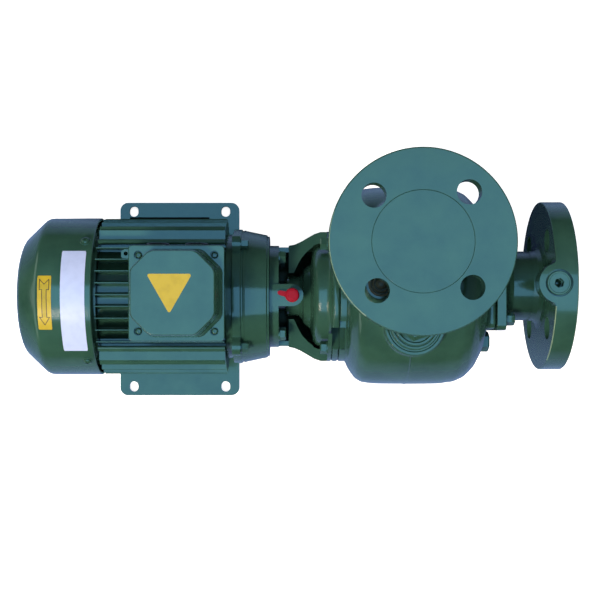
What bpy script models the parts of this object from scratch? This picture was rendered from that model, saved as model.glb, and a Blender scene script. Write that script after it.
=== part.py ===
"""Close-coupled electric pump, lying along X, with its shaft level.

Metres, +Z up. The origin is the middle of the foot plate's underside, on the
centre plane of the shaft. +X runs from the fan end to the suction flange, and
the discharge flange faces up.
"""

import bmesh
import bpy
from math import cos, pi, radians, sin, sqrt
from mathutils import Matrix

for old in list(bpy.data.objects):
    bpy.data.objects.remove(old, do_unlink=True)

# Driving dimensions
GAP = 0.0003
SHAFT_Z = 0.100

FOOT_LENGTH = 0.1166
FOOT_WIDTH = 0.189
FOOT_THICK = 0.0045
FOOT_CORNER = 0.0076
SLOT_LENGTH = 0.010
SLOT_WIDTH = 0.0086
SLOT_X = 0.045
SLOT_Y = 0.0859

COWL_R = 0.070
COWL_WALL = 0.0018
COWL_OPEN_X = -0.0597
COWL_SHOULDER_X = -0.1045
COWL_END_X = -0.1304

BODY_X0 = -0.057
BODY_X1 = 0.052
BODY_R = 0.0695
CORE_R = 0.0535
FIN_PITCH = 0.010
FIN_THICK = 0.0022
TOP_FIN_Z = 0.066

BOX_X = 0.016
BOX_SIDE = 0.074
BOX_Z0 = 0.168
BOX_Z1 = 0.200
LID_SIDE = 0.078
LID_RIM_Z = 0.2055
LID_TOP_Z = 0.220

SHIELD_X = 0.0557
SHIELD_R = 0.060
SHIELD_END_X = 0.0901
SHIELD_END_R = 0.0537
LUG_CIRCLE_R = 0.063
LUG_R = 0.0075

LANTERN_R = 0.0455
LANTERN_FLANGE_R = 0.0581
LANTERN_X1 = 0.1446
RING_X1 = 0.0982
WEB_X0 = 0.1070
LUG_INNER_Y = 0.0330
ARM_HALF_WIDTH = 0.0095
CAP_X = 0.110
CAP_R = 0.0055

COVER_R = 0.0582
JOINT_X = 0.1511
BARREL_X0 = 0.1576
BARREL_Y = 0.0095
BARREL_R = 0.088

DISCHARGE_X = 0.2137
DISCHARGE_Y = 0.0404
DISCHARGE_Z = 0.2274
DISCHARGE_TURN = radians(2)
FLANGE_R = 0.075
FLANGE_THICK = 0.0174
FLANGE_HOLE_R = 0.010
FLANGE_CIRCLE_R = 0.0535
PORT_DISC_R = 0.041
PORT_DISC_THICK = 0.003
NECK_R = 0.031

PLATE_SIDE = 0.080
PLATE_X0 = 0.2877
PLATE_X1 = 0.2958
SUCTION_BACK_X = 0.3310
SUCTION_FACE_X = 0.3500

GAUGE_X = 0.3335
GAUGE_BOSS_R = 0.0163
GAUGE_SEAT = 0.0758

FILL_X = 0.2104
FILL_Y = -0.0258
FILL_R = 0.0254
VENT_X = 0.183
VENT_Y = 0.008
DRAIN_X = 0.2825
DRAIN_Y = -0.041
DRAIN_Z = 0.060


def paint(name, rgb, metallic, roughness):
    mat = bpy.data.materials.new(name)
    mat.use_nodes = True
    shader = mat.node_tree.nodes["Principled BSDF"]
    shader.inputs["Base Color"].default_value = (*rgb, 1.0)
    shader.inputs["Metallic"].default_value = metallic
    shader.inputs["Roughness"].default_value = roughness
    mat.diffuse_color = (*rgb, 1.0)
    return mat


def green_enamel(piece):
    return paint("green_enamel_" + piece, (0.035, 0.085, 0.07), 0.0, 0.3)


def black_plastic(piece):
    return paint("black_plastic_" + piece, (0.01, 0.01, 0.011), 0.0, 0.5)


def red_plastic(piece):
    return paint("red_plastic_" + piece, (0.55, 0.02, 0.03), 0.0, 0.45)


def turned_steel(piece):
    return paint("turned_steel_" + piece, (0.45, 0.45, 0.46), 1.0, 0.35)


def lathe(profile, steps=64):
    """Turn a list of (radius, height) points about Z."""
    bm = bmesh.new()
    verts = [bm.verts.new((r, 0.0, z)) for r, z in profile]
    edges = [bm.edges.new(pair) for pair in zip(verts, verts[1:])]
    if profile[0][0] > 0.0:
        edges.append(bm.edges.new((verts[-1], verts[0])))
    bmesh.ops.spin(bm, geom=verts + edges, cent=(0, 0, 0), axis=(0, 0, 1),
                   angle=2 * pi, steps=steps, use_merge=True)
    bmesh.ops.remove_doubles(bm, verts=bm.verts, dist=0.00001)
    bmesh.ops.dissolve_degenerate(bm, edges=bm.edges, dist=0.00001)
    bmesh.ops.recalc_face_normals(bm, faces=bm.faces)
    return bm


def prism(outline, z0, z1):
    """Raise a flat outline of (x, y) points from z0 to z1."""
    bm = bmesh.new()
    base = bm.faces.new([bm.verts.new((x, y, z0)) for x, y in outline])
    made = bmesh.ops.extrude_face_region(bm, geom=[base])["geom"]
    top = [v for v in made if isinstance(v, bmesh.types.BMVert)]
    bmesh.ops.translate(bm, verts=top, vec=(0, 0, z1 - z0))
    bmesh.ops.recalc_face_normals(bm, faces=bm.faces)
    return bm


def circle(r, steps=32, centre=(0.0, 0.0), start=0.0):
    """Points of a circle, in order."""
    cx, cy = centre
    turn = [start + 2 * pi * i / steps for i in range(steps)]
    return [(cx + r * cos(a), cy + r * sin(a)) for a in turn]


def rounded(width, height, r, steps=5):
    """Outline of a rectangle with round corners, about its middle."""
    points = []
    for sx, sy, start in ((1, 1, 0), (-1, 1, 90), (-1, -1, 180), (1, -1, 270)):
        cx = sx * (width / 2 - r)
        cy = sy * (height / 2 - r)
        for i in range(steps + 1):
            a = radians(start + 90 * i / steps)
            points.append((cx + r * cos(a), cy + r * sin(a)))
    return points


def loft(sections):
    """Skin outlines of equal point count, given as (outline, z) from below."""
    bm = bmesh.new()
    rings = [[bm.verts.new((x, y, z)) for x, y in outline] for outline, z in sections]
    for low, high in zip(rings, rings[1:]):
        for i in range(len(low)):
            j = (i + 1) % len(low)
            bm.faces.new((low[i], low[j], high[j], high[i]))
    bm.faces.new(list(reversed(rings[0])))
    bm.faces.new(rings[-1])
    bmesh.ops.recalc_face_normals(bm, faces=bm.faces)
    return bm


def place(name, bm, location=(0, 0, 0), rotation=(0, 0, 0)):
    """Put a mesh into the scene as an object."""
    mesh = bpy.data.meshes.new(name)
    bm.to_mesh(mesh)
    bm.free()
    obj = bpy.data.objects.new(name, mesh)
    obj.location = location
    obj.rotation_euler = rotation
    bpy.context.collection.objects.link(obj)
    return obj


def piece(name, bm, mat, location=(0, 0, 0), rotation=(0, 0, 0)):
    """A sub-part with its own material."""
    obj = place(name, bm, location, rotation)
    obj.data.materials.append(mat)
    obj.data.shade_smooth()
    obj.data.set_sharp_from_angle(angle=radians(32))
    return obj


def tool(obj, kind, bm, location=(0, 0, 0), rotation=(0, 0, 0)):
    """Join a shape to a sub-part, or cut it away; the shape itself is hidden."""
    count = len(obj.modifiers)
    body = place(obj.name + "_tool_" + str(count), bm, location, rotation)
    body.hide_render = True
    body.display_type = "WIRE"
    mod = obj.modifiers.new(kind.lower() + str(count), "BOOLEAN")
    mod.operation = kind
    mod.solver = "EXACT"
    mod.object = body


def join(obj, bm, location=(0, 0, 0), rotation=(0, 0, 0)):
    tool(obj, "UNION", bm, location, rotation)


def cut(obj, bm, location=(0, 0, 0), rotation=(0, 0, 0)):
    tool(obj, "DIFFERENCE", bm, location, rotation)


ALONG_X = (0, pi / 2, 0)
ALONG_Y = (-pi / 2, 0, 0)
SHAFT = (0, 0, SHAFT_Z)
QUARTERS = [radians(45 + 90 * i) for i in range(4)]


def box(x0, x1, y0, y1, z0, z1):
    return prism([(x0, y0), (x1, y0), (x1, y1), (x0, y1)], z0, z1)


def foot_plate():
    obj = piece("foot_plate", prism(rounded(FOOT_LENGTH, FOOT_WIDTH, FOOT_CORNER), 0.0, FOOT_THICK),
                green_enamel("foot_plate"))
    for sx in (-1, 1):
        for sy in (-1, 1):
            slot = rounded(SLOT_WIDTH, SLOT_LENGTH, SLOT_WIDTH / 2 - 0.00002, 8)
            cut(obj, prism(slot, -0.01, 0.02), (sx * SLOT_X, sy * SLOT_Y, 0))
    return obj


SADDLE_Y0 = 0.0425
SADDLE_Y1 = 0.0555
SADDLE_TOP = 0.050


def foot_saddle(name, side):
    """Cast rail between the foot plate and the motor's lower pad."""
    y = side * (SADDLE_Y0 + SADDLE_Y1) / 2
    width = SADDLE_Y1 - SADDLE_Y0
    low = rounded(0.100, width + 0.012, 0.004)
    shoulder = rounded(0.098, width + 0.010, 0.004)
    waist = rounded(0.092, width - 0.002, 0.004)
    top = rounded(0.096, width, 0.004)
    z0 = FOOT_THICK + GAP
    z1 = SADDLE_TOP - GAP
    sections = [(low, z0), (shoulder, z0 + 0.005), (waist, z0 + 0.008), (waist, z1 - 0.008), (top, z1 - 0.004),
                (top, z1)]
    return piece(name, loft(sections), green_enamel(name), (0, y, 0))


def fin_section():
    """Outline of the ribbed motor body, seen along the shaft, as (y, z)."""
    half = FIN_THICK / 2
    quarter = []
    # Upright fins, from the middle outward
    for i in range(5):
        y = i * FIN_PITCH
        tip = min(TOP_FIN_Z, sqrt(BODY_R ** 2 - y ** 2))
        if i:
            quarter.append((y - half, sqrt(CORE_R ** 2 - (y - half) ** 2)))
            quarter.append((y - half, tip))
        quarter.append((y + half, tip))
        quarter.append((y + half, sqrt(CORE_R ** 2 - (y + half) ** 2)))
    # Corner pad between the upright and the level fins
    quarter.append((0.0446, 0.0330))
    quarter.append((0.0446, 0.0486))
    quarter.append((0.0476, 0.0486))
    quarter.append((0.0536, 0.0430))
    # Level fins, from the corner down to the middle
    for i in range(3, -1, -1):
        z = 0.005 + i * FIN_PITCH
        tip = sqrt(BODY_R ** 2 - z ** 2)
        quarter.append((sqrt(CORE_R ** 2 - (z + half) ** 2), z + half) if i < 3 else (tip, z + half))
        if i < 3:
            quarter.append((tip, z + half))
        quarter.append((tip, z - half))
        quarter.append((sqrt(CORE_R ** 2 - (z - half) ** 2), z - half))
    right = quarter + [(y, -z) for y, z in reversed(quarter)]
    return right + [(-y, z) for y, z in reversed(right)]


def motor_housing():
    # Local Z runs along the shaft; local Y is world Y and local X is world -Z.
    outline = [(-z, y) for y, z in fin_section()]
    obj = piece("motor_housing", prism(outline, BODY_X0, BODY_X1), green_enamel("motor_housing"), SHAFT, ALONG_X)
    side = BOX_SIDE / 2 - 0.001
    join(obj, box(BOX_X - side, BODY_X1 - 0.0005, -side, side, SHAFT_Z + 0.040, BOX_Z0 - GAP))
    for sign in (-1, 1):
        join(obj, box(-0.049, 0.0485, sign * 0.049 - 0.0065, sign * 0.049 + 0.0065, SADDLE_TOP, SHAFT_Z - 0.036))
    return obj


def rear_end_shield():
    r = COWL_R - COWL_WALL - GAP
    profile = [(0, -0.086), (0.016, -0.086), (0.019, -0.080), (0.024, -0.0705), (0.058, -0.0685),
               (0.0615, -0.066), (0.0615, BODY_X0 - GAP), (0, BODY_X0 - GAP)]
    obj = piece("rear_end_shield", lathe(profile), green_enamel("rear_end_shield"), SHAFT, ALONG_X)
    for a in QUARTERS:
        lug = [(r * cos(a + d), r * sin(a + d)) for d in (-0.13, -0.045, 0.045, 0.13)]
        lug += [(0.05 * cos(a + 0.18), 0.05 * sin(a + 0.18)), (0.05 * cos(a - 0.18), 0.05 * sin(a - 0.18))]
        join(obj, prism(lug, -0.074, BODY_X0 - 0.002), SHAFT, ALONG_X)
    return obj


def cooling_fan():
    profile = [(0, -0.118), (0.011, -0.118), (0.014, -0.108), (0.015, -0.0905), (0.050, -0.0895),
               (0.050, -0.088), (0.012, -0.088), (0.012, -0.086 - GAP), (0, -0.086 - GAP)]
    obj = piece("cooling_fan", lathe(profile, 48), black_plastic("cooling_fan"), SHAFT, ALONG_X)
    for i in range(7):
        blade = prism([(0.010, -0.0011), (0.0525, -0.0011), (0.0525, 0.0011), (0.010, 0.0011)], -0.1125, -0.0889)
        bmesh.ops.rotate(blade, verts=blade.verts, cent=(0, 0, 0), matrix=Matrix.Rotation(2 * pi * i / 7, 3, "Z"))
        join(obj, blade, SHAFT, ALONG_X)
    return obj


def arc_slot(r0, r1, a0, a1, z0, z1, steps):
    outer = [(r1 * cos(a0 + (a1 - a0) * i / steps), r1 * sin(a0 + (a1 - a0) * i / steps)) for i in range(steps + 1)]
    inner = [(r0 * cos(a0 + (a1 - a0) * i / steps), r0 * sin(a0 + (a1 - a0) * i / steps)) for i in range(steps + 1)]
    return prism(outer + list(reversed(inner)), z0, z1)


def fan_cowl():
    w = COWL_WALL
    outer = [(COWL_R, COWL_OPEN_X), (COWL_R, COWL_SHOULDER_X), (0.0694, -0.1058), (0.0680, -0.1074),
             (0.0530, -0.1235), (0.0500, -0.1256), (0.0460, -0.1272), (0.0420, -0.1280), (0.0200, -0.1299),
             (0, COWL_END_X)]
    inner = [(0, COWL_END_X + w), (0.0200, -0.1299 + w), (0.0416, -0.1280 + w), (0.0452, -0.1255),
             (0.0488, -0.1241), (0.0516, -0.1221), (0.0666, -0.1061), (COWL_R - w, -0.1040),
             (COWL_R - w, COWL_OPEN_X)]
    obj = piece("fan_cowl", shell_of_revolution(outer, inner), green_enamel("fan_cowl"), SHAFT, ALONG_X)
    for r, count, share in ((0.0120, 3, 0.74), (0.0200, 4, 0.78), (0.0280, 5, 0.80), (0.0360, 6, 0.82)):
        for i in range(count):
            a0 = 2 * pi * i / count + 0.2
            a1 = a0 + 2 * pi / count * share
            cut(obj, arc_slot(r - 0.0020, r + 0.0020, a0, a1, -0.140, -0.120, 6), SHAFT, ALONG_X)
    return obj


def shell_of_revolution(outer, inner, steps=72):
    """A cup: the outer wall from rim to pole, then the inner from pole to rim."""
    bm = bmesh.new()
    verts = [bm.verts.new((r, 0.0, z)) for r, z in outer]
    back = [bm.verts.new((r, 0.0, z)) for r, z in inner]
    edges = [bm.edges.new(pair) for pair in zip(verts, verts[1:])]
    edges += [bm.edges.new(pair) for pair in zip(back, back[1:])]
    edges.append(bm.edges.new((back[-1], verts[0])))
    bmesh.ops.spin(bm, geom=verts + back + edges, cent=(0, 0, 0), axis=(0, 0, 1),
                   angle=2 * pi, steps=steps, use_merge=True)
    bmesh.ops.remove_doubles(bm, verts=bm.verts, dist=0.00001)
    bmesh.ops.dissolve_degenerate(bm, edges=bm.edges, dist=0.00001)
    bmesh.ops.recalc_face_normals(bm, faces=bm.faces)
    return bm


def terminal_box():
    sections = [(rounded(BOX_SIDE - 0.004, BOX_SIDE - 0.004, 0.005), BOX_Z0),
                (rounded(BOX_SIDE - 0.002, BOX_SIDE - 0.002, 0.006), BOX_Z0 + 0.003),
                (rounded(BOX_SIDE, BOX_SIDE, 0.006), BOX_Z1 - GAP)]
    obj = piece("terminal_box", loft(sections), green_enamel("terminal_box"), (BOX_X, 0, 0))
    # Earth lug on the fan side
    x0 = -0.0316 - BOX_X
    lug = [(x0, 0.0305), (x0 + 0.001, 0.0295), (-BOX_SIDE / 2 + 0.002, 0.0285), (-BOX_SIDE / 2 + 0.002, 0.0365),
           (x0 + 0.003, 0.0370), (x0, 0.0355)]
    join(obj, prism(lug, 0.178, 0.1855), (BOX_X, 0, 0))
    for x in (-0.001, 0.031):
        join(obj, lathe([(0, 0.030), (0.0105, 0.030), (0.0105, 0.0385), (0, 0.0385)], 32),
             (x, 0, 0.186), ALONG_Y)
    return obj


def terminal_box_lid():
    rim = rounded(LID_SIDE, LID_SIDE, 0.007)
    obj = piece("terminal_box_lid", prism(rim, BOX_Z1, LID_RIM_Z), green_enamel("terminal_box_lid"),
                (BOX_X, 0, 0))
    join(obj, loft([(octagon(0.071, 0.072, 0.0165), LID_RIM_Z - 0.002),
                    (octagon(0.0702, 0.0712, 0.0163), LID_RIM_Z + 0.001),
                    (octagon(0.068, 0.069, 0.0158), LID_TOP_Z - 0.0015),
                    (octagon(0.0655, 0.0665, 0.0152), LID_TOP_Z)]), (BOX_X, 0, 0))
    return obj


def octagon(width, height, chamfer):
    x = width / 2
    y = height / 2
    c = chamfer
    return [(x, y - c), (x - c, y), (c - x, y), (-x, y - c), (-x, c - y), (c - x, -y), (x - c, -y), (x, c - y)]


def cable_entry_plug(name, x):
    y = 0.0385 + GAP
    profile = [(0, y), (0.0095, y), (0.0095, y + 0.0022), (0.0085, y + 0.0029), (0.0055, y + 0.0029),
               (0.0050, y + 0.0014), (0, y + 0.0014)]
    return piece(name, lathe(profile, 36), black_plastic(name), (x, 0, 0.186), ALONG_Y)


def drive_end_shield():
    profile = [(0, BODY_X1 + GAP), (0.051, BODY_X1 + GAP), (0.051, SHIELD_X), (SHIELD_R, SHIELD_X),
               (SHIELD_R, 0.0635), (0.0593, 0.0662), (0.0593, 0.0676), (0.0585, 0.0700), (SHIELD_END_R + 0.0012, 0.0886),
               (SHIELD_END_R, SHIELD_END_X), (0, SHIELD_END_X)]
    obj = piece("drive_end_shield", lathe(profile), green_enamel("drive_end_shield"), SHAFT, ALONG_X)
    for a in QUARTERS:
        centre = (LUG_CIRCLE_R * cos(a), LUG_CIRCLE_R * sin(a))
        points = [(centre[0] + LUG_R * cos(a + b), centre[1] + LUG_R * sin(a + b))
                  for b in [pi / 2 - pi * i / 10 for i in range(11)]]
        inner = 0.052
        points += [(inner * cos(a - 0.20), inner * sin(a - 0.20)), (inner * cos(a + 0.20), inner * sin(a + 0.20))]
        join(obj, prism(points, SHIELD_X + 0.0004, 0.0645), SHAFT, ALONG_X)
    return obj


def lantern():
    x0 = SHIELD_END_X + GAP
    profile = [(0.036, x0), (LANTERN_R, x0), (LANTERN_R, 0.106), (0.0465, 0.112), (0.0492, 0.118),
               (0.0527, 0.124), (0.0562, 0.130), (LANTERN_FLANGE_R, 0.1356), (LANTERN_FLANGE_R, LANTERN_X1 - GAP),
               (0.0475, LANTERN_X1 - GAP), (0.0475, 0.1335), (0.0430, 0.1220), (0.0410, 0.1120), (0.0410, 0.0982),
               (0.036, 0.0982)]
    obj = piece("lantern", lathe(profile), green_enamel("lantern"), SHAFT, ALONG_X)
    # Web of each side arm, from the wall in toward the cover's bowl
    for side in (-1, 1):
        web = [(0.1070, side * 0.0432), (0.1070, side * 0.0205), (0.1115, side * 0.0205), (0.1155, side * 0.0290),
               (0.1190, side * 0.0350), (0.1238, side * 0.0403), (0.1290, side * 0.0445), (0.1290, side * 0.0500),
               (0.1150, side * 0.0450)]
        join(obj, prism(web, SHAFT_Z - 0.0145, SHAFT_Z + 0.0160))
    # The top is open from the motor ring to the cover, lowest next to the ring.
    cut(obj, box(RING_X1, WEB_X0, -0.060, 0.060, SHAFT_Z - 0.008, SHAFT_Z + 0.08))
    cut(obj, box(WEB_X0 - 0.001, 0.1356, -0.065, 0.065, SHAFT_Z + 0.016, SHAFT_Z + 0.08))
    cut(obj, box(0.1346, 0.1500, -LUG_INNER_Y, LUG_INNER_Y, SHAFT_Z, SHAFT_Z + 0.08))
    # Tongue on top, with a round boss under the cap
    tongue = [(0.091, -ARM_HALF_WIDTH), (CAP_X, -ARM_HALF_WIDTH)]
    tongue += [(CAP_X + ARM_HALF_WIDTH * cos(a), ARM_HALF_WIDTH * sin(a))
               for a in [radians(-80 + 160 * i / 8) for i in range(9)]]
    tongue += [(CAP_X, ARM_HALF_WIDTH), (0.091, ARM_HALF_WIDTH)]
    join(obj, prism(tongue, SHAFT_Z + 0.0395, SHAFT_Z + 0.0475))
    return obj


def lantern_cap():
    z = SHAFT_Z + 0.0475 + GAP
    profile = [(0, z), (CAP_R + 0.0007, z), (CAP_R + 0.0007, z + 0.0012), (CAP_R, z + 0.0018), (CAP_R, z + 0.0075),
               (CAP_R - 0.001, z + 0.0085), (0, z + 0.0090)]
    obj = piece("lantern_cap", lathe(profile, 32), red_plastic("lantern_cap"), (CAP_X, 0, 0))
    tail = [(-0.0125, 0.0012), (-0.0110, 0.0000), (-0.004, -0.0022), (-0.004, 0.0028), (-0.0105, 0.0040),
            (-0.0125, 0.0030)]
    join(obj, prism(tail, z, z + 0.0022), (CAP_X, 0, 0))
    return obj


def pump_shaft():
    x0 = SHIELD_END_X + GAP
    profile = [(0, x0), (0.014, x0), (0.014, 0.0955), (0.012, 0.0965), (0.012, 0.1045 - GAP), (0, 0.1045 - GAP)]
    return piece("pump_shaft", lathe(profile, 40), turned_steel("pump_shaft"), SHAFT, ALONG_X)


def casing_cover():
    profile = [(0, 0.1045), (0.0168, 0.1045), (0.0178, 0.1055), (0.0178, 0.1118), (0.0200, 0.1130),
               (0.0265, 0.1155), (0.0330, 0.1192), (0.0385, 0.1238), (0.0425, 0.1295), (0.0448, 0.1355),
               (0.0455, 0.1400), (0.0462, LANTERN_X1 - 0.0008), (0.0470, LANTERN_X1),
               (COVER_R, LANTERN_X1), (COVER_R, JOINT_X - GAP), (0, JOINT_X - GAP)]
    return piece("casing_cover", lathe(profile), green_enamel("casing_cover"), SHAFT, ALONG_X)


BARREL = [(0, 0.1576), (0.0672, 0.1576), (0.072, 0.1588), (0.076, 0.161), (0.083, 0.166), (0.0865, 0.172),
          (0.0878, 0.184), (0.088, 0.200), (0.0881, 0.221), (0.0878, 0.240), (0.086, 0.254), (0.082, 0.2625),
          (0.0745, 0.270), (0.063, 0.2762), (0.050, 0.2790), (0, 0.2790)]


def pump_casing():
    obj = piece("pump_casing", lathe(BARREL, 64), green_enamel("pump_casing"), (0, BARREL_Y, SHAFT_Z), ALONG_X)
    join(obj, lathe([(0, JOINT_X), (COVER_R, JOINT_X), (COVER_R, 0.1600), (0, 0.1600)], 64), SHAFT, ALONG_X)
    top = DISCHARGE_Z - FLANGE_THICK - GAP
    neck = [(0, 0.120), (0.046, 0.120), (0.0455, 0.160), (0.0420, 0.1720), (0.0360, 0.1820), (0.0325, 0.1900),
            (NECK_R, 0.1960), (NECK_R, top - 0.007), (NECK_R + 0.0015, top - 0.003), (NECK_R + 0.005, top), (0, top)]
    join(obj, lathe(neck, 56), (DISCHARGE_X, DISCHARGE_Y, 0))
    fill = [(0, 0.130), (FILL_R, 0.130), (FILL_R, 0.184), (FILL_R - 0.0015, 0.1855), (0.0205, 0.1855),
            (0.0200, 0.1880), (0, 0.1880)]
    join(obj, lathe(fill, 48), (FILL_X, FILL_Y, 0))
    vent = [(0, 0.140), (0.0135, 0.140), (0.0135, 0.1895), (0.0125, 0.1905), (0, 0.1905)]
    join(obj, lathe(vent, 32), (VENT_X, VENT_Y, 0))
    drain = [(0, 0.235), (0.0120, 0.235), (0.0120, DRAIN_X - 0.001), (0.0110, DRAIN_X), (0, DRAIN_X)]
    join(obj, lathe(drain, 32), (0, DRAIN_Y, DRAIN_Z), ALONG_X)
    pad = rounded(PLATE_SIDE - 0.002, PLATE_SIDE - 0.002, 0.007)
    join(obj, prism(pad, 0.2650, PLATE_X0 - GAP), (0, BARREL_Y, SHAFT_Z), ALONG_X)
    return obj


def flange_profile(back, face):
    """Round flange from its back to its face, with a shallow seat for the port disc."""
    return [(0, back), (FLANGE_R - 0.0020, back), (FLANGE_R - 0.0006, back + 0.0006), (FLANGE_R, back + 0.0020),
            (FLANGE_R, face - 0.0014), (FLANGE_R - 0.0004, face - 0.0004), (FLANGE_R - 0.0014, face),
            (PORT_DISC_R, face), (PORT_DISC_R, face - PORT_DISC_THICK), (0, face - PORT_DISC_THICK)]


def flange_holes(obj, turn, location, rotation, z0, z1):
    for a in QUARTERS:
        centre = (FLANGE_CIRCLE_R * cos(a + turn), FLANGE_CIRCLE_R * sin(a + turn))
        cut(obj, prism(circle(FLANGE_HOLE_R, 24, centre), z0, z1), location, rotation)


def discharge_flange():
    back = DISCHARGE_Z - FLANGE_THICK
    location = (DISCHARGE_X, DISCHARGE_Y, 0)
    obj = piece("discharge_flange", lathe(flange_profile(back, DISCHARGE_Z), 64), green_enamel("discharge_flange"),
                location)
    flange_holes(obj, DISCHARGE_TURN, location, (0, 0, 0), back - 0.004, DISCHARGE_Z + 0.01)
    return obj


def suction_flange():
    location = (0, BARREL_Y, SHAFT_Z)
    obj = piece("suction_flange", lathe(flange_profile(SUCTION_BACK_X, SUCTION_FACE_X), 64),
                green_enamel("suction_flange"), location, ALONG_X)
    top = SHAFT_Z + GAUGE_SEAT
    boss = [(0, top - 0.026), (GAUGE_BOSS_R - 0.004, top - 0.026), (GAUGE_BOSS_R, top - 0.020),
            (GAUGE_BOSS_R, top - 0.001), (GAUGE_BOSS_R - 0.001, top), (0, top)]
    join(obj, lathe(boss, 40), (GAUGE_X, BARREL_Y, 0))
    flange_holes(obj, 0.0, location, ALONG_X, SUCTION_BACK_X - 0.008, SUCTION_FACE_X + 0.01)
    return obj


def port_disc(name, location, rotation, face):
    r = PORT_DISC_R - GAP
    profile = [(0, face - PORT_DISC_THICK + GAP), (r, face - PORT_DISC_THICK + GAP), (r, face), (0, face)]
    return piece(name, lathe(profile, 72), green_enamel(name), location, rotation)


def hex_plug(name, seat, flange_r, flange_h, across, height, location, rotation):
    """A plug with a round collar and a six-sided head, standing on its seat."""
    obj = piece(name, lathe([(0, seat), (flange_r, seat), (flange_r, seat + flange_h), (0, seat + flange_h)], 40),
                green_enamel(name), location, rotation)
    r = across / sqrt(3)
    top = seat + flange_h + height
    head = loft([(circle(r, 6, start=radians(30)), seat + flange_h * 0.5), (circle(r, 6, start=radians(30)), top - 0.001),
                 (circle(r * 0.9, 6, start=radians(30)), top)])
    join(obj, head, location, rotation)
    return obj


def casing_foot():
    """Cast foot under the barrel."""
    x = 0.215
    z0 = 0.0
    sections = [(rounded(0.080, 0.130, 0.008), z0), (rounded(0.080, 0.130, 0.008), 0.008),
                (rounded(0.066, 0.104, 0.008), 0.0095), (rounded(0.060, 0.096, 0.008), 0.040)]
    obj = piece("casing_foot", loft(sections), green_enamel("casing_foot"), (x, BARREL_Y, 0))
    grown = [(0, 0.150), (0.0884, 0.150), (0.0884, 0.290), (0, 0.290)]
    cut(obj, lathe(grown, 96), (0, BARREL_Y, SHAFT_Z), ALONG_X)
    return obj


def suction_branch():
    location = (0, BARREL_Y, SHAFT_Z)
    plate = prism(rounded(PLATE_SIDE, PLATE_SIDE, 0.006), PLATE_X0, PLATE_X1)
    obj = piece("suction_branch", plate, green_enamel("suction_branch"), location, ALONG_X)
    x0 = PLATE_X0 + 0.002
    x1 = SUCTION_BACK_X - GAP
    neck = [(0, x0), (0.036, x0), (0.036, PLATE_X1 + 0.001), (NECK_R + 0.001, PLATE_X1 + 0.004),
            (NECK_R, PLATE_X1 + 0.008), (NECK_R, x1 - 0.008), (NECK_R + 0.002, x1 - 0.0035),
            (NECK_R + 0.0065, x1), (0, x1)]
    join(obj, lathe(neck, 56), location, ALONG_X)
    return obj


def gauge_plug():
    seat = SHAFT_Z + GAUGE_SEAT + GAP
    profile = [(0, seat), (0.011, seat), (0.011, seat + 0.0025), (0.0095, seat + 0.0035), (0, seat + 0.0035)]
    obj = piece("gauge_plug", lathe(profile, 36), green_enamel("gauge_plug"), (GAUGE_X, BARREL_Y, 0))
    cut(obj, prism(circle(0.0046, 6), seat + 0.0010, seat + 0.02), (GAUGE_X, BARREL_Y, 0))
    return obj


foot_plate()
foot_saddle("foot_saddle_1", 1)
foot_saddle("foot_saddle_2", -1)
motor_housing()
rear_end_shield()
cooling_fan()
fan_cowl()
terminal_box()
terminal_box_lid()
cable_entry_plug("cable_entry_plug_1", -0.001)
cable_entry_plug("cable_entry_plug_2", 0.031)
drive_end_shield()
lantern()
lantern_cap()
pump_shaft()
casing_cover()
pump_casing()
discharge_flange()
port_disc("discharge_port_disc", (DISCHARGE_X, DISCHARGE_Y, 0), (0, 0, 0), DISCHARGE_Z)
hex_plug("filling_plug", 0.1880 + GAP, 0.0180, 0.003, 0.030, 0.007, (FILL_X, FILL_Y, 0), (0, 0, 0))
hex_plug("vent_plug", 0.1905 + GAP, 0.0105, 0.002, 0.013, 0.005, (VENT_X, VENT_Y, 0), (0, 0, 0))
hex_plug("drain_plug", DRAIN_X + GAP, 0.0092, 0.003, 0.0165, 0.0075, (0, DRAIN_Y, DRAIN_Z), ALONG_X)
casing_foot()
suction_branch()
suction_flange()
port_disc("suction_port_disc", (0, BARREL_Y, SHAFT_Z), ALONG_X, SUCTION_FACE_X)
gauge_plug()
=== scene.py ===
from math import asin, cos, pi, radians, sin, sqrt

import bmesh
import bpy
from mathutils import Matrix, Vector


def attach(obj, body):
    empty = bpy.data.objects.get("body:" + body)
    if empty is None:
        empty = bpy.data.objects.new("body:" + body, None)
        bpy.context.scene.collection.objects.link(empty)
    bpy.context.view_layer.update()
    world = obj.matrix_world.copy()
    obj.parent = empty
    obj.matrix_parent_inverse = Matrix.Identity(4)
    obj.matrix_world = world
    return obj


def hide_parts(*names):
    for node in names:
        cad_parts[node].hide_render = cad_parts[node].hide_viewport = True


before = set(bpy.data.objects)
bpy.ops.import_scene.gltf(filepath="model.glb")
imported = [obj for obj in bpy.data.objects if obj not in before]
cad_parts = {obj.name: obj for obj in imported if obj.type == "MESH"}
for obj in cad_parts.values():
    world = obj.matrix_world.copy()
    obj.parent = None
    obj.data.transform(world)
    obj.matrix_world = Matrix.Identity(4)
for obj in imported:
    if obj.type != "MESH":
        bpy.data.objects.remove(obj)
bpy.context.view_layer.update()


# View and setting. The camera looks straight down from 1.15 m over the
# lantern, with the lens that gives the photograph's sizes at every level.
# The floor is pale, under a cool overhead sky and a large warm lamp.
def linear(code):
    """An sRGB hex colour as linear red, green, blue and alpha."""
    shares = [int(code[i:i + 2], 16) / 255 for i in (1, 3, 5)]
    return [s / 12.92 if s <= 0.04045 else ((s + 0.055) / 1.055) ** 2.4 for s in shares] + [1.0]


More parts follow.
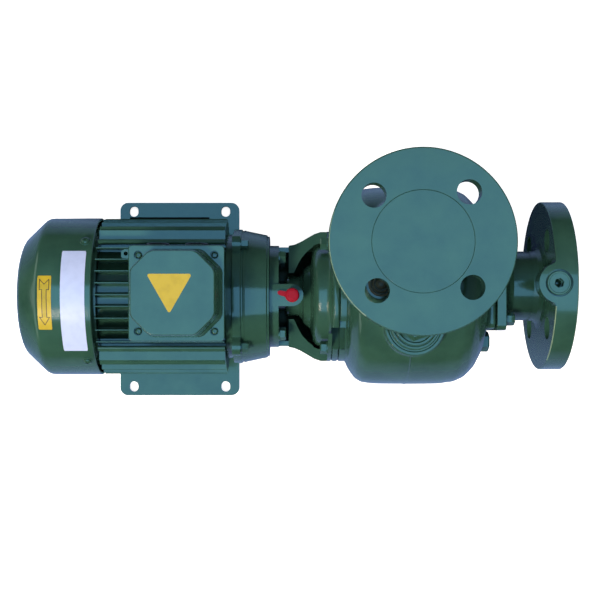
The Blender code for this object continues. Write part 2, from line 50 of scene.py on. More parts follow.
def add(tree, kind, settings=None, inputs=None):
    """Add a shader node; an input is a value, or the socket that feeds it."""
    node = tree.nodes.new(kind)
    for key, value in (settings or {}).items():
        setattr(node, key, value)
    for key, value in (inputs or {}).items():
        if isinstance(value, bpy.types.NodeSocket):
            tree.links.new(value, node.inputs[key])
        else:
            node.inputs[key].default_value = value
    return node


camera = bpy.data.objects.new("camera", bpy.data.cameras.new("camera"))
camera.location = (0.1081, -0.02745, 1.153)
camera.data.sensor_width = 36.0
camera.data.lens = 70.2
camera.data.shift_x = 10 / 600
camera.data.shift_y = 27 / 600
bpy.context.scene.collection.objects.link(camera)
bpy.context.scene.camera = camera
bpy.context.scene.view_settings.view_transform = "Standard"

floor_mesh = bpy.data.meshes.new("floor")
floor_mesh.from_pydata([(-5, -5, 0), (5, -5, 0), (5, 5, 0), (-5, 5, 0)], [], [(0, 1, 2, 3)])
floor = bpy.data.objects.new("floor", floor_mesh)
bpy.context.scene.collection.objects.link(floor)
paper = bpy.data.materials.new("pale_matt_paper")
paper.use_nodes = True
tree = paper.node_tree
white = tree.nodes["Principled BSDF"]
white.inputs["Base Color"].default_value = linear("#F6F6F8")
white.inputs["Roughness"].default_value = 0.9
white.inputs["Emission Color"].default_value = linear("#FFFFFF")
paths = add(tree, "ShaderNodeLightPath")
glow = add(tree, "ShaderNodeMath", {"operation": "MULTIPLY"}, {0: paths.outputs["Is Camera Ray"], 1: 0.85})
tree.links.new(glow.outputs[0], white.inputs["Emission Strength"])
# What the gloss of the paint shows of the floor is a painted reflection, a glow seen only by glossy rays:
# a cool blue round the pump, darker in a painted shadow of the pump, which falls toward +X and +Y, and darkest far out
place = add(tree, "ShaderNodeTexCoord").outputs["Object"]
far = add(tree, "ShaderNodeVectorMath", {"operation": "DISTANCE"}, {0: place, 1: (0.15, 0.0, 0.0)})
reach = add(tree, "ShaderNodeMapRange", inputs={0: far.outputs["Value"], 1: 0.30, 2: 1.00, 3: 0.0, 4: 1.0})
shifted = add(tree, "ShaderNodeVectorMath", {"operation": "SUBTRACT"}, {0: place, 1: (0.16, 0.045, 0.0)})
folded = add(tree, "ShaderNodeVectorMath", {"operation": "ABSOLUTE"}, {0: shifted.outputs[0]})
beyond = add(tree, "ShaderNodeVectorMath", {"operation": "SUBTRACT"}, {0: folded.outputs[0], 1: (0.20, 0.0, 0.0)})
outside = add(tree, "ShaderNodeVectorMath", {"operation": "MAXIMUM"}, {0: beyond.outputs[0], 1: (0.0, 0.0, 0.0)})
edge = add(tree, "ShaderNodeVectorMath", {"operation": "LENGTH"}, {0: outside.outputs[0]})
lit = add(tree, "ShaderNodeMapRange", inputs={0: edge.outputs["Value"], 1: 0.05, 2: 0.15, 3: 0.0, 4: 1.0})
# Painted shadow of the pump in dark blue, against painted sunlit floor in light blue
near = add(tree, "ShaderNodeMix", {"data_type": "RGBA"}, {0: lit.outputs[0], 6: linear("#1C2440"), 7: linear("#88A4D8")})
cool = add(tree, "ShaderNodeMix", {"data_type": "RGBA"}, {0: reach.outputs[0], 6: near.outputs[2], 7: linear("#26302E")})
painted_floor_reflection = add(tree, "ShaderNodeEmission", inputs={"Color": cool.outputs[2], "Strength": 1.0})
both = add(tree, "ShaderNodeMixShader", inputs={0: paths.outputs["Is Glossy Ray"], 1: white.outputs[0], 2: painted_floor_reflection.outputs[0]})
tree.links.new(both.outputs[0], tree.nodes["Material Output"].inputs["Surface"])
floor_mesh.materials.append(paper)

sky = bpy.data.worlds.new("soft_sky")
sky.use_nodes = True
bpy.context.scene.world = sky
tree = sky.node_tree
direction = add(tree, "ShaderNodeSeparateXYZ",
                inputs={0: add(tree, "ShaderNodeTexCoord").outputs["Generated"]})
# From 0 straight down, through 0.5 level, to 1 straight up
height = add(tree, "ShaderNodeMath", {"operation": "MULTIPLY_ADD"}, {0: direction.outputs["Z"], 1: 0.5, 2: 0.5})


def dome(stops, strength):
    """Light from all round, whose colour changes with height."""
    ramp = add(tree, "ShaderNodeValToRGB", inputs={0: height.outputs[0]})
    for i, (place, colour) in enumerate(stops):
        stop = ramp.color_ramp.elements[i] if i < 2 else ramp.color_ramp.elements.new(place)
        stop.position = place
        stop.color = linear(colour)
    return add(tree, "ShaderNodeBackground", inputs={"Color": ramp.outputs["Color"], "Strength": strength})


cast_light = dome(((0.0, "#8F9690"), (1.0, "#F4F7FF"), (0.5, "#8F9690"), (0.75, "#C8CED6")), 0.62)
mirrored = dome(((0.0, "#6E8CBC"), (1.0, "#2E5A7C"), (0.14, "#3C5170"), (0.40, "#222E2B"), (0.62, "#2A3A3A"),
                 (0.82, "#2E4C58")), 2.0)
seen = dome(((0.0, "#F6F7FA"), (1.0, "#FFFFFF")), 1.0)
paths = add(tree, "ShaderNodeLightPath")
light = add(tree, "ShaderNodeMixShader",
            inputs={0: paths.outputs["Is Glossy Ray"], 1: cast_light.outputs[0], 2: mirrored.outputs[0]})
light = add(tree, "ShaderNodeMixShader",
            inputs={0: paths.outputs["Is Camera Ray"], 1: light.outputs[0], 2: seen.outputs[0]})
tree.links.new(light.outputs[0], tree.nodes["World Output"].inputs["Surface"])


def lamp(name, place, aim, width, depth, power, colour):
    """Soft rectangular lamp aimed at a point."""
    light = bpy.data.lights.new(name, "AREA")
    light.shape = "RECTANGLE"
    light.size = width
    light.size_y = depth
    light.energy = power
    light.color = linear(colour)[:3]
    obj = bpy.data.objects.new(name, light)
    obj.location = place
    obj.rotation_euler = (Vector(aim) - Vector(place)).to_track_quat("-Z", "Y").to_euler()
    bpy.context.scene.collection.objects.link(obj)
    return obj


key_lamp = lamp("key_lamp", (-0.75, -0.95, 2.0), (0.1, 0.0, 0.1), 0.5, 0.5, 50, "#FFF1DC")
key_lamp.visible_glossy = False
glint_lamp = lamp("glint_lamp", (-0.75, -0.95, 2.0), (0.1, 0.0, 0.1), 0.24, 0.24, 18, "#FFE6C0")
glint_lamp.visible_diffuse = False
fill_lamp = lamp("fill_lamp", (1.3, 1.1, 1.8), (0.1, 0.0, 0.1), 1.6, 1.6, 4, "#FFF8F0")
fill_lamp.visible_glossy = False
sky_panel = lamp("sky_panel", (0.26, -0.46, 2.1), (0.26, -0.46, 0.1), 2.2, 1.90, 49, "#6AABD2")
sky_panel.rotation_euler = (0, 0, 0)
sky_panel.visible_diffuse = False
horizon_panel = lamp("horizon_panel", (-1.8, 0.0, 0.36), (0.1, 0.0, 0.36), 3.0, 0.70, 9, "#CFE8DC")
horizon_panel.visible_diffuse = False
horizon_panel.visible_camera = False


# Foot plate: a flat steel plate under the motor, pressed and slotted at the
# corners for the foundation bolts, and sprayed green with everything on it.
def put(name, bm, smooth=32):
    """Put a mesh, made in place, into the scene as a piece."""
    bmesh.ops.recalc_face_normals(bm, faces=bm.faces)
    mesh = bpy.data.meshes.new(name)
    bm.to_mesh(mesh)
    bm.free()
    mesh.shade_smooth()
    mesh.set_sharp_from_angle(angle=radians(smooth))
    obj = bpy.data.objects.new(name, mesh)
    bpy.context.scene.collection.objects.link(obj)
    return obj


def settle(obj, smooth=32):
    """Turn what the modifiers show into the piece's own mesh."""
    bpy.context.view_layer.update()
    shown = obj.evaluated_get(bpy.context.evaluated_depsgraph_get())
    mesh = bpy.data.meshes.new_from_object(shown)
    obj.modifiers.clear()
    obj.data = mesh
    mesh.shade_smooth()
    mesh.set_sharp_from_angle(angle=radians(smooth))
    return obj


def carve(obj, tool, kind="DIFFERENCE"):
    """Cut one mesh from another, or join them, and drop the tool."""
    mod = obj.modifiers.new("carve", "BOOLEAN")
    mod.operation = kind
    mod.solver = "EXACT"
    mod.object = tool
    settle(obj)
    bpy.data.objects.remove(tool, do_unlink=True)
    return obj


def keep_flat(obj):
    """Shade big flat faces flat, and only their rounded edges round."""
    flat = obj.modifiers.new("keep_faces_flat", "WEIGHTED_NORMAL")
    flat.weight = 100
    flat.keep_sharp = True
    return obj


def soften(obj, width, steps=2):
    """Round the sharp edges, as paint and wear do."""
    mod = obj.modifiers.new("soften", "BEVEL")
    mod.width = width
    mod.segments = steps
    mod.limit_method = "ANGLE"
    mod.angle_limit = radians(35)
    mod.use_clamp_overlap = True
    settle(obj, 40)
    return keep_flat(obj)


def block(outline, low, high):
    """A flat outline of (x, y) points raised from low to high."""
    bm = bmesh.new()
    base = bm.faces.new([bm.verts.new((x, y, low)) for x, y in outline])
    made = bmesh.ops.extrude_face_region(bm, geom=[base])["geom"]
    top = [v for v in made if isinstance(v, bmesh.types.BMVert)]
    bmesh.ops.translate(bm, verts=top, vec=(0, 0, high - low))
    return bm


def slab(x0, x1, y0, y1, z0, z1):
    """A plain box, as a tool to cut with or a part of a casting."""
    return block([(x0, y0), (x1, y0), (x1, y1), (x0, y1)], z0, z1)


def corners(width, height, r, steps=8, centre=(0.0, 0.0)):
    """Outline of a rectangle with round corners."""
    points = []
    for sx, sy, start in ((1, 1, 0), (-1, 1, 90), (-1, -1, 180), (1, -1, 270)):
        for i in range(steps + 1):
            a = radians(start + 90 * i / steps)
            points.append((centre[0] + sx * (width / 2 - r) + r * cos(a),
                           centre[1] + sy * (height / 2 - r) + r * sin(a)))
    return points


def enamel(name, grain_mm, grain_depth, peel_depth=0.00002, rough=0.13, tones=("#28483D", "#315547")):
    """Green machine enamel over a metal skin with the given grain.

    A thick gloss coat, sprayed in one go over the whole pump: the eye sees
    a deep green that takes the sky's blue where it faces up, with the soft
    waves of sprayed paint and the metal's own grain under them.
    """
    mat = bpy.data.materials.new(name)
    mat.use_nodes = True
    tree = mat.node_tree
    shader = tree.nodes["Principled BSDF"]
    shader.inputs["Metallic"].default_value = 0.0
    shader.inputs["IOR"].default_value = 1.5
    shader.inputs["Coat Weight"].default_value = 0.35
    shader.inputs["Coat Roughness"].default_value = 0.05
    shader.inputs["Coat IOR"].default_value = 1.5
    at = add(tree, "ShaderNodeTexCoord").outputs["Object"]
    # Patches about 25 mm wide where the coat is thicker or thinner
    patch = add(tree, "ShaderNodeTexNoise", inputs={"Vector": at, "Scale": 1 / 0.025, "Detail": 4.0})
    tone = add(tree, "ShaderNodeValToRGB", inputs={0: patch.outputs["Fac"]})
    tone.color_ramp.elements[0].position = 0.3
    tone.color_ramp.elements[0].color = linear(tones[0])
    tone.color_ramp.elements[1].position = 0.72
    tone.color_ramp.elements[1].color = linear(tones[1])
    # Dust specks about 1 mm apart
    dust = add(tree, "ShaderNodeTexNoise", inputs={"Vector": at, "Scale": 1 / 0.0011, "Detail": 2.0})
    specks = add(tree, "ShaderNodeMapRange", inputs={0: dust.outputs["Fac"], 1: 0.70, 2: 0.80, 3: 0.0, 4: 0.12})
    skin = add(tree, "ShaderNodeMix", {"data_type": "RGBA"},
               {0: specks.outputs[0], 6: tone.outputs["Color"], 7: linear("#5E7468")})
    tree.links.new(skin.outputs[2], shader.inputs["Base Color"])
    shine = add(tree, "ShaderNodeMapRange", inputs={0: patch.outputs["Fac"], 1: 0.3, 2: 0.7, 3: rough - 0.04, 4: rough + 0.06})
    tree.links.new(shine.outputs[0], shader.inputs["Roughness"])
    peel = add(tree, "ShaderNodeTexNoise", inputs={"Vector": at, "Scale": 1 / 0.0024, "Detail": 1.0})
    waves = add(tree, "ShaderNodeBump", inputs={"Height": peel.outputs["Fac"], "Distance": peel_depth, "Strength": 1.0})
    grain = add(tree, "ShaderNodeTexNoise", inputs={"Vector": at, "Scale": 1000 / grain_mm, "Detail": 5.0,
                                                    "Roughness": 0.6})
    rough_skin = add(tree, "ShaderNodeBump", inputs={"Height": grain.outputs["Fac"], "Distance": grain_depth,
                                                     "Strength": 1.0, "Normal": waves.outputs["Normal"]})
    tree.links.new(rough_skin.outputs["Normal"], shader.inputs["Normal"])
    return mat


def dress(obj, mat, slot, *nodes):
    """Give a piece its finish, and fix it to the pump in place of its solids."""
    obj.data.materials.clear()
    obj.data.materials.append(mat)
    if nodes:
        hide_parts(*nodes)
    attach(obj, "root")
    return obj


FOOT_LENGTH = 0.1166
FOOT_WIDTH = 0.189
FOOT_THICK = 0.0045
enamel_on_sheet = enamel("green_enamel_on_steel_sheet", 9.0, 0.00004)
foot_plate = put("foot_plate_sheet", block(corners(FOOT_LENGTH, FOOT_WIDTH, 0.0076), 0.0, FOOT_THICK))
for sx in (-1, 1):
    for sy in (-1, 1):
        slot_hole = corners(0.0086, 0.010, 0.0042, 8, (sx * 0.045, sy * 0.0859))
        carve(foot_plate, put("slot_tool", block(slot_hole, -0.01, 0.02)))
carve(foot_plate, put("groove_tool", slab(-0.049, 0.029, 0.0776, 0.0802, 0.0006, 0.010)))
soften(foot_plate, 0.0005)
dress(foot_plate, enamel_on_sheet, "green_enamel", "foot_plate")
# The groove is painted matt and nearly black: painted shade, for the dark line beside the motor
painted_groove_shade = enamel("matt_black_painted_shade_in_a_groove", 2.0, 0.0001, 0.00002, 0.85, ("#070B0A", "#101614"))
painted_groove_shade.node_tree.nodes["Principled BSDF"].inputs["Coat Weight"].default_value = 0.0
painted_groove_shade.node_tree.nodes["Principled BSDF"].inputs["Specular IOR Level"].default_value = 0.15
foot_plate.data.materials.append(painted_groove_shade)
# Faces in the groove, below the top of the plate, take the painted shade
for face in foot_plate.data.polygons:
    at = face.center
    face.material_index = int(abs(at.x + 0.010) < 0.0395 and 0.0772 < at.y < 0.0806
                              and 0.0003 < at.z < FOOT_THICK - 0.0002)


# Foot rails: two cast rails that carry the motor on the plate. They stay as
# the solids have them, under a coat of the same enamel over cast metal.
enamel_on_casting = enamel("green_enamel_on_cast_iron", 4.5, 0.00012, 0.00003, 0.15)


def coat(names, mat):
    """Paint solids that keep their own shape."""
    for name in names:
        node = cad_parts[name]
        for i in range(len(node.material_slots)):
            node.material_slots[i].material = mat


coat(("foot_saddle_1", "foot_saddle_2", "rear_end_shield"), enamel_on_casting)


# Motor body: die-cast aluminium with thin cooling fins, upright on top and
# below, level on the sides, and a flat seat on top for the connection box.
SHAFT_Z = 0.100
BODY_X0 = -0.057
BODY_X1 = 0.052
BODY_R = 0.0695
CORE_R = 0.0535


def fin_section():
    """Outline of the body seen along the shaft, as (y, z) about the shaft."""
    base = 0.0013
    tip_half = 0.0006
    quarter = []
    for i in range(5):
        y = i * 0.010
        tip = min(0.066, sqrt(BODY_R ** 2 - y ** 2))
        if i:
            quarter += [(y - base - 0.001, sqrt(CORE_R ** 2 - (y - base - 0.001) ** 2)),
                        (y - base, sqrt(CORE_R ** 2 - (y - base) ** 2) + 0.001),
                        (y - tip_half, tip - 0.0006)]
        quarter += [(y - tip_half * 0.4, tip)] if i else []
        quarter += [(y + tip_half * 0.4, tip), (y + tip_half, tip - 0.0006),
                    (y + base, sqrt(CORE_R ** 2 - (y + base) ** 2) + 0.001),
                    (y + base + 0.001, sqrt(CORE_R ** 2 - (y + base + 0.001) ** 2))]
    quarter += [(0.0437, 0.0330), (0.0438, 0.0468), (0.0443, 0.0478), (0.0452, 0.0484), (0.0462, 0.0483),
                (0.0473, 0.0476), (0.0480, 0.0466), (0.0482, 0.0404), (0.0487, 0.0399), (0.0562, 0.0399),
                (0.0568, 0.0393), (0.0571, 0.0376), (0.0575, 0.0373), (0.0590, 0.0368)]
    for i in range(3, -1, -1):
        z = 0.005 + i * 0.010
        tip = sqrt(BODY_R ** 2 - z ** 2)
        if i < 3:
            quarter += [(sqrt(CORE_R ** 2 - (z + base) ** 2), z + base), (tip - 0.0006, z + tip_half),
                        (tip, z + tip_half * 0.4)]
        else:
            quarter += [(tip - 0.0004, z + tip_half * 2.2), (tip, z + tip_half * 1.2)]
        quarter += [(tip, z - tip_half * 0.4), (tip - 0.0006, z - tip_half),
                    (sqrt(CORE_R ** 2 - (z - base) ** 2), z - base)]
    right = quarter + [(y, -z) for y, z in reversed(quarter)]
    return right + [(-y, z) for y, z in reversed(right)]


def along_x(bm, y=0.0, z=SHAFT_Z):
    """Turn what was made about Z to run along X, at the given height."""
    bmesh.ops.rotate(bm, verts=bm.verts, cent=(0, 0, 0), matrix=Matrix.Rotation(pi / 2, 3, "Y"))
    bmesh.ops.translate(bm, verts=bm.verts, vec=(0, y, z))
    return bm


enamel_on_aluminium = enamel("green_enamel_on_die_cast_aluminium", 5.0, 0.00008)
motor = put("motor_body", along_x(block([(-z, y) for y, z in fin_section()], BODY_X0, BODY_X1)))
carve(motor, put("box_seat", slab(-0.0195, 0.0515, -0.0355, 0.0355, SHAFT_Z + 0.040, 0.1677)), "UNION")
for side in (-1, 1):
    pad = slab(-0.049, 0.0485, side * 0.049 - 0.0065, side * 0.049 + 0.0065, 0.050, SHAFT_Z - 0.036)
    carve(motor, put("rail_pad", pad), "UNION")
dress(keep_flat(motor), enamel_on_aluminium, "green_enamel", "motor_housing")


# Fan: moulded black plastic on the end of the shaft, seen only through the
# grille of the cowl.
def moulded(name, colour, rough, grain_mm):
    """Moulded plastic, with the faint grain of its mould."""
    mat = bpy.data.materials.new(name)
    mat.use_nodes = True
    tree = mat.node_tree
    shader = tree.nodes["Principled BSDF"]
    shader.inputs["IOR"].default_value = 1.46
    at = add(tree, "ShaderNodeTexCoord").outputs["Object"]
    grain = add(tree, "ShaderNodeTexNoise", inputs={"Vector": at, "Scale": 1000 / grain_mm, "Detail": 3.0})
    lighter = [min(1.0, c * 1.25) for c in linear(colour)[:3]] + [1.0]
    tone = add(tree, "ShaderNodeMix", {"data_type": "RGBA"},
               {0: grain.outputs["Fac"], 6: linear(colour), 7: lighter})
    tree.links.new(tone.outputs[2], shader.inputs["Base Color"])
    shine = add(tree, "ShaderNodeMapRange", inputs={0: grain.outputs["Fac"], 1: 0.3, 2: 0.7, 3: rough - 0.05, 4: rough + 0.05})
    tree.links.new(shine.outputs[0], shader.inputs["Roughness"])
    relief = add(tree, "ShaderNodeBump", inputs={"Height": grain.outputs["Fac"], "Distance": 0.00003})
    tree.links.new(relief.outputs["Normal"], shader.inputs["Normal"])
    return mat


black_nylon = moulded("moulded_black_nylon", "#111616", 0.28, 0.8)
coat(("cooling_fan",), black_nylon)


# Fan cowl: deep-drawn steel sheet over the fan, with rings of slots punched
# in its end, held by four small screws into the rear shield.
def turned(profile, steps=128, closed=False):
    """Turn (radius, height) points about Z."""
    bm = bmesh.new()
    verts = [bm.verts.new((r, 0.0, h)) for r, h in profile]
    edges = [bm.edges.new(pair) for pair in zip(verts, verts[1:])]
    if closed:
        edges.append(bm.edges.new((verts[-1], verts[0])))
    bmesh.ops.spin(bm, geom=verts + edges, cent=(0, 0, 0), axis=(0, 0, 1), angle=2 * pi, steps=steps,
                   use_merge=True)
    bmesh.ops.remove_doubles(bm, verts=bm.verts, dist=0.00001)
    bmesh.ops.dissolve_degenerate(bm, edges=bm.edges, dist=0.00001)
    return bm


COWL_R = 0.070
SHEET = 0.0018
cowl_outer = [(COWL_R - 0.0006, -0.0597), (COWL_R, -0.0603), (COWL_R, -0.1010), (0.06993, -0.1026), (0.0697, -0.1041),
              (0.0692, -0.1056), (0.0685, -0.1069), (0.0675, -0.1082), (0.0535, -0.1231), (0.0522, -0.1243), (0.0505, -0.1254),
              (0.0485, -0.1263), (0.0460, -0.1272), (0.0420, -0.1280), (0.0310, -0.1290), (0.0160, -0.1301),
              (0, -0.1304)]
cowl_inner = [(0, -0.1286), (0.0160, -0.1283), (0.0310, -0.1272), (0.0416, -0.1262), (0.0452, -0.1253),
              (0.0488, -0.1238), (0.0512, -0.1222), (0.0660, -0.1065), (0.0674, -0.1050), (0.0682, -0.1030),
              (COWL_R - SHEET, -0.0597)]


def cup(outer, inner, steps=160):
    """A turned cup with a wall, open at one end."""
    bm = bmesh.new()
    wall = [bm.verts.new((r, 0.0, h)) for r, h in outer]
    back = [bm.verts.new((r, 0.0, h)) for r, h in inner]
    edges = [bm.edges.new(pair) for pair in zip(wall, wall[1:])]
    edges += [bm.edges.new(pair) for pair in zip(back, back[1:])]
    edges.append(bm.edges.new((back[-1], wall[0])))
    bmesh.ops.spin(bm, geom=wall + back + edges, cent=(0, 0, 0), axis=(0, 0, 1), angle=2 * pi, steps=steps,
                   use_merge=True)
    bmesh.ops.remove_doubles(bm, verts=bm.verts, dist=0.00001)
    bmesh.ops.dissolve_degenerate(bm, edges=bm.edges, dist=0.00001)
    return bm


def arc_slot(r, half, a0, a1, low, high, steps=14):
    """A punched slot along an arc, as a tool."""
    turn = [a0 + (a1 - a0) * i / steps for i in range(steps + 1)]
    outer = [((r + half) * cos(a), (r + half) * sin(a)) for a in turn]
    inner = [((r - half) * cos(a), (r - half) * sin(a)) for a in reversed(turn)]
    return block(outer + inner, low, high)


cowl = put("fan_cowl_sheet", along_x(cup(cowl_outer, cowl_inner)))
for ring_r, count, share in ((0.0120, 3, 0.74), (0.0200, 4, 0.78), (0.0280, 5, 0.80), (0.0360, 6, 0.82)):
    punch = bmesh.new()
    for i in range(count):
        start = 2 * pi * i / count + 0.2
        tool_mesh = bpy.data.meshes.new("slot")
        slot_bm = arc_slot(ring_r, 0.0020, start, start + 2 * pi / count * share, -0.140, -0.120)
        slot_bm.to_mesh(tool_mesh)
        slot_bm.free()
        punch.from_mesh(tool_mesh)
        bpy.data.meshes.remove(tool_mesh)
    carve(cowl, put("punch", along_x(punch)))
dress(cowl, enamel_on_sheet, "green_enamel", "fan_cowl")


def on_cowl(x, angle, lift=0.0):
    """A point on the cowl; the angle runs from the top toward +Y."""
    r = COWL_R + lift
    return Vector((x, r * sin(angle), SHAFT_Z + r * cos(angle)))


def cross_screw(name, at, out, r, height):
    """Pan-head screw with a cross recess, painted with the rest."""
    profile = [(0, -0.001), (r, -0.001), (r, height * 0.35), (r * 0.92, height * 0.65), (r * 0.70, height * 0.9),
               (r * 0.40, height), (0, height)]
    screw = put(name, turned(profile, 28))
    for turn in (0, pi / 2):
        bar = slab(-r * 0.6, r * 0.6, -r * 0.11, r * 0.11, height * 0.45, height * 1.5)
        bmesh.ops.rotate(bar, verts=bar.verts, cent=(0, 0, 0), matrix=Matrix.Rotation(turn + 0.5, 3, "Z"))
        carve(screw, put("recess", bar))
    screw.data.transform(Matrix.Translation(at) @ Vector(out).to_track_quat("Z", "Y").to_matrix().to_4x4())
    return screw


enamel_on_screws = enamel("green_enamel_on_steel_screws", 2.0, 0.00003)
for i, angle in enumerate((41, 131, 216, 306)):
    a = radians(angle)
    screw = cross_screw("cowl_screw_%d" % (i + 1), on_cowl(-0.0669, a, 0.0005), (0, sin(a), cos(a)), 0.0034, 0.0020)
    dress(screw, enamel_on_screws, "green_enamel")
    washer = put("cowl_washer_%d" % (i + 1), turned([(0, -0.0003), (0.0048, -0.0003), (0.0048, 0.0003),
                                                     (0.0044, 0.0006), (0, 0.0006)], 32))
    washer.data.transform(Matrix.Translation(on_cowl(-0.0668, a, -0.0001))
                          @ Vector((0, sin(a), cos(a))).to_track_quat("Z", "Y").to_matrix().to_4x4())
    dress(washer, enamel_on_screws, "green_enamel")


# Cowl stickers: a blank white plate label and a yellow one with an arrow for
# the way the shaft turns. Both are printed vinyl, stuck round the cowl.
def vinyl(name, colour, wear):
    """Smooth stuck-on vinyl, a little soiled toward brown or grey; the white label's blue-lavender tones are painted
    sky light instead.
    """
    mat = bpy.data.materials.new(name)
    mat.use_nodes = True
    tree = mat.node_tree
    shader = tree.nodes["Principled BSDF"]
    shader.inputs["IOR"].default_value = 1.48
    at = add(tree, "ShaderNodeTexCoord").outputs["Object"]
    soil = add(tree, "ShaderNodeTexNoise", inputs={"Vector": at, "Scale": 1 / 0.006, "Detail": 5.0})
    share = add(tree, "ShaderNodeMapRange", inputs={0: soil.outputs["Fac"], 1: 0.45, 2: 0.85, 3: 0.0, 4: 0.5})
    tone = add(tree, "ShaderNodeMix", {"data_type": "RGBA"}, {0: share.outputs[0], 6: linear(colour), 7: linear(wear)})
    tree.links.new(tone.outputs[2], shader.inputs["Base Color"])
    shine = add(tree, "ShaderNodeMapRange", inputs={0: soil.outputs["Fac"], 1: 0.3, 2: 0.7, 3: 0.3, 4: 0.45})
    tree.links.new(shine.outputs[0], shader.inputs["Roughness"])
    return mat


def sticker(name, x0, x1, a0, a1, lift=0.00008, thick=0.0001, round_r=0.0012):
    """A thin sheet bent round the cowl between two angles."""
    bm = bmesh.new()
    columns = 48
    rows = 10
    arc = (a1 - a0) * COWL_R
    grid = {}
    for layer, height in enumerate((lift, lift + thick)):
        for i in range(columns + 1):
            for j in range(rows + 1):
                u = i / columns
                v = j / rows
                # Draw the corner points in, so that the corners are round
                du = min(u, 1 - u) * arc
                dv = min(v, 1 - v) * (x1 - x0)
                pull = 0.0
                if du < round_r and dv < 1e-9:
                    pull = round_r - sqrt(max(0.0, round_r ** 2 - (round_r - du) ** 2))
                x = x0 + v * (x1 - x0)
                x += pull if v < 0.5 else -pull
                grid[layer, i, j] = bm.verts.new(on_cowl(x, a0 + u * (a1 - a0), height))
    for i in range(columns):
        for j in range(rows):
            for layer in (0, 1):
                bm.faces.new((grid[layer, i, j], grid[layer, i + 1, j], grid[layer, i + 1, j + 1], grid[layer, i, j + 1]))
    for i in range(columns):
        for j in (0, rows):
            bm.faces.new((grid[0, i, j], grid[0, i + 1, j], grid[1, i + 1, j], grid[1, i, j]))
    for j in range(rows):
        for i in (0, columns):
            bm.faces.new((grid[0, i, j], grid[0, i, j + 1], grid[1, i, j + 1], grid[1, i, j]))
    return put(name, bm, 50)


# White vinyl tinted blue-lavender, in patches: painted blue sky light on a white label
white_vinyl_painted_sky_tint = vinyl("white_vinyl_tinted_blue_as_painted_sky_light", "#BCCBF6", "#A6B6E2")
yellow_vinyl = vinyl("yellow_printed_vinyl", "#BCA21A", "#92801A")
dark_ink = vinyl("dark_ink_on_vinyl", "#3A2F1C", "#57491F")
dress(sticker("white_label", -0.0853, -0.0648, radians(-43), radians(32), round_r=0.0005), white_vinyl_painted_sky_tint, "green_enamel")
dress(sticker("arrow_label", -0.1044, -0.0929, radians(-25), radians(13), round_r=0.0004), yellow_vinyl, "green_enamel")


def ink_line(name, points, width, lift):
    """A printed line that follows (x, angle) points round the cowl."""
    bm = bmesh.new()
    for (x0, a0), (x1, a1) in zip(points, points[1:]):
        run = Vector(((x1 - x0), (a1 - a0) * COWL_R))
        side = Vector((-run.y, run.x)).normalized() * width / 2
        tip = run.normalized() * width / 2
        count = max(1, round(run.length / 0.0012))
        last = None
        for i in range(count + 1):
            t = i / count
            x = x0 + run.x * t + (tip.x if i == count else -tip.x if i == 0 else 0)
            s = a0 * COWL_R + run.y * t + (tip.y if i == count else -tip.y if i == 0 else 0)
            pair = [[bm.verts.new(on_cowl(x + k * side.x, (s + k * side.y) / COWL_R, h)) for k in (-1, 1)]
                    for h in (lift, lift + 0.00005)]
            if last:
                bm.faces.new((last[0][0], last[0][1], pair[0][1], pair[0][0]))
                bm.faces.new((last[1][0], last[1][1], pair[1][1], pair[1][0]))
                bm.faces.new((last[0][0], pair[0][0], pair[1][0], last[1][0]))
                bm.faces.new((last[0][1], pair[0][1], pair[1][1], last[1][1]))
            else:
                bm.faces.new((pair[0][0], pair[0][1], pair[1][1], pair[1][0]))
            last = pair
        bm.faces.new((last[0][0], last[0][1], last[1][1], last[1][0]))
    return put(name, bm, 50)


mid_x = -0.09865
arrow = [(mid_x, -21.5), (mid_x + 0.0042, -16.0), (mid_x + 0.0019, -16.0), (mid_x + 0.0019, 3.2), (mid_x + 0.0040, 3.2),
         (mid_x + 0.0040, 10.4), (mid_x, 7.0), (mid_x - 0.0040, 10.4), (mid_x - 0.0040, 3.2), (mid_x - 0.0019, 3.2),
         (mid_x - 0.0019, -16.0), (mid_x - 0.0042, -16.0), (mid_x, -21.5)]
arrow = [(x, radians(a)) for x, a in arrow]
dress(ink_line("arrow_mark", arrow, 0.0006, 0.00024), dark_ink, "green_enamel")
amber_ink = vinyl("amber_ink_on_vinyl", "#AE9818", "#8A7A20")
for name, x0, x1, a0, a1 in (("arrow_shaft", mid_x - 0.0019, mid_x + 0.0019, -16.0, 3.2),
                             ("arrow_tail", mid_x - 0.0040, mid_x + 0.0040, 3.2, 7.0)):
    patch = sticker(name, x0, x1, radians(a0), radians(a1), 0.0002, 0.00003, 0.00001)
    dress(patch, amber_ink, "green_enamel")


# Connection box: die-cast aluminium box on the motor's seat, with a bolted
# lid over a gasket, an earth lug on one corner and two blanked cable entries.
BOX_X = 0.016
BOX_SIDE = 0.074
LID_SIDE = 0.078
LID_RIM_Z = 0.2055
LID_TOP_Z = 0.220


def skin(sections):
    """Skin a stack of outlines of equal point count, each (outline, height)."""
    bm = bmesh.new()
    rings = [[bm.verts.new((x, y, h)) for x, y in outline] for outline, h in sections]
    for low, high in zip(rings, rings[1:]):
        for i in range(len(low)):
            j = (i + 1) % len(low)
            bm.faces.new((low[i], low[j], high[j], high[i]))
    bm.faces.new(list(reversed(rings[0])))
    bm.faces.new(rings[-1])
    return bm


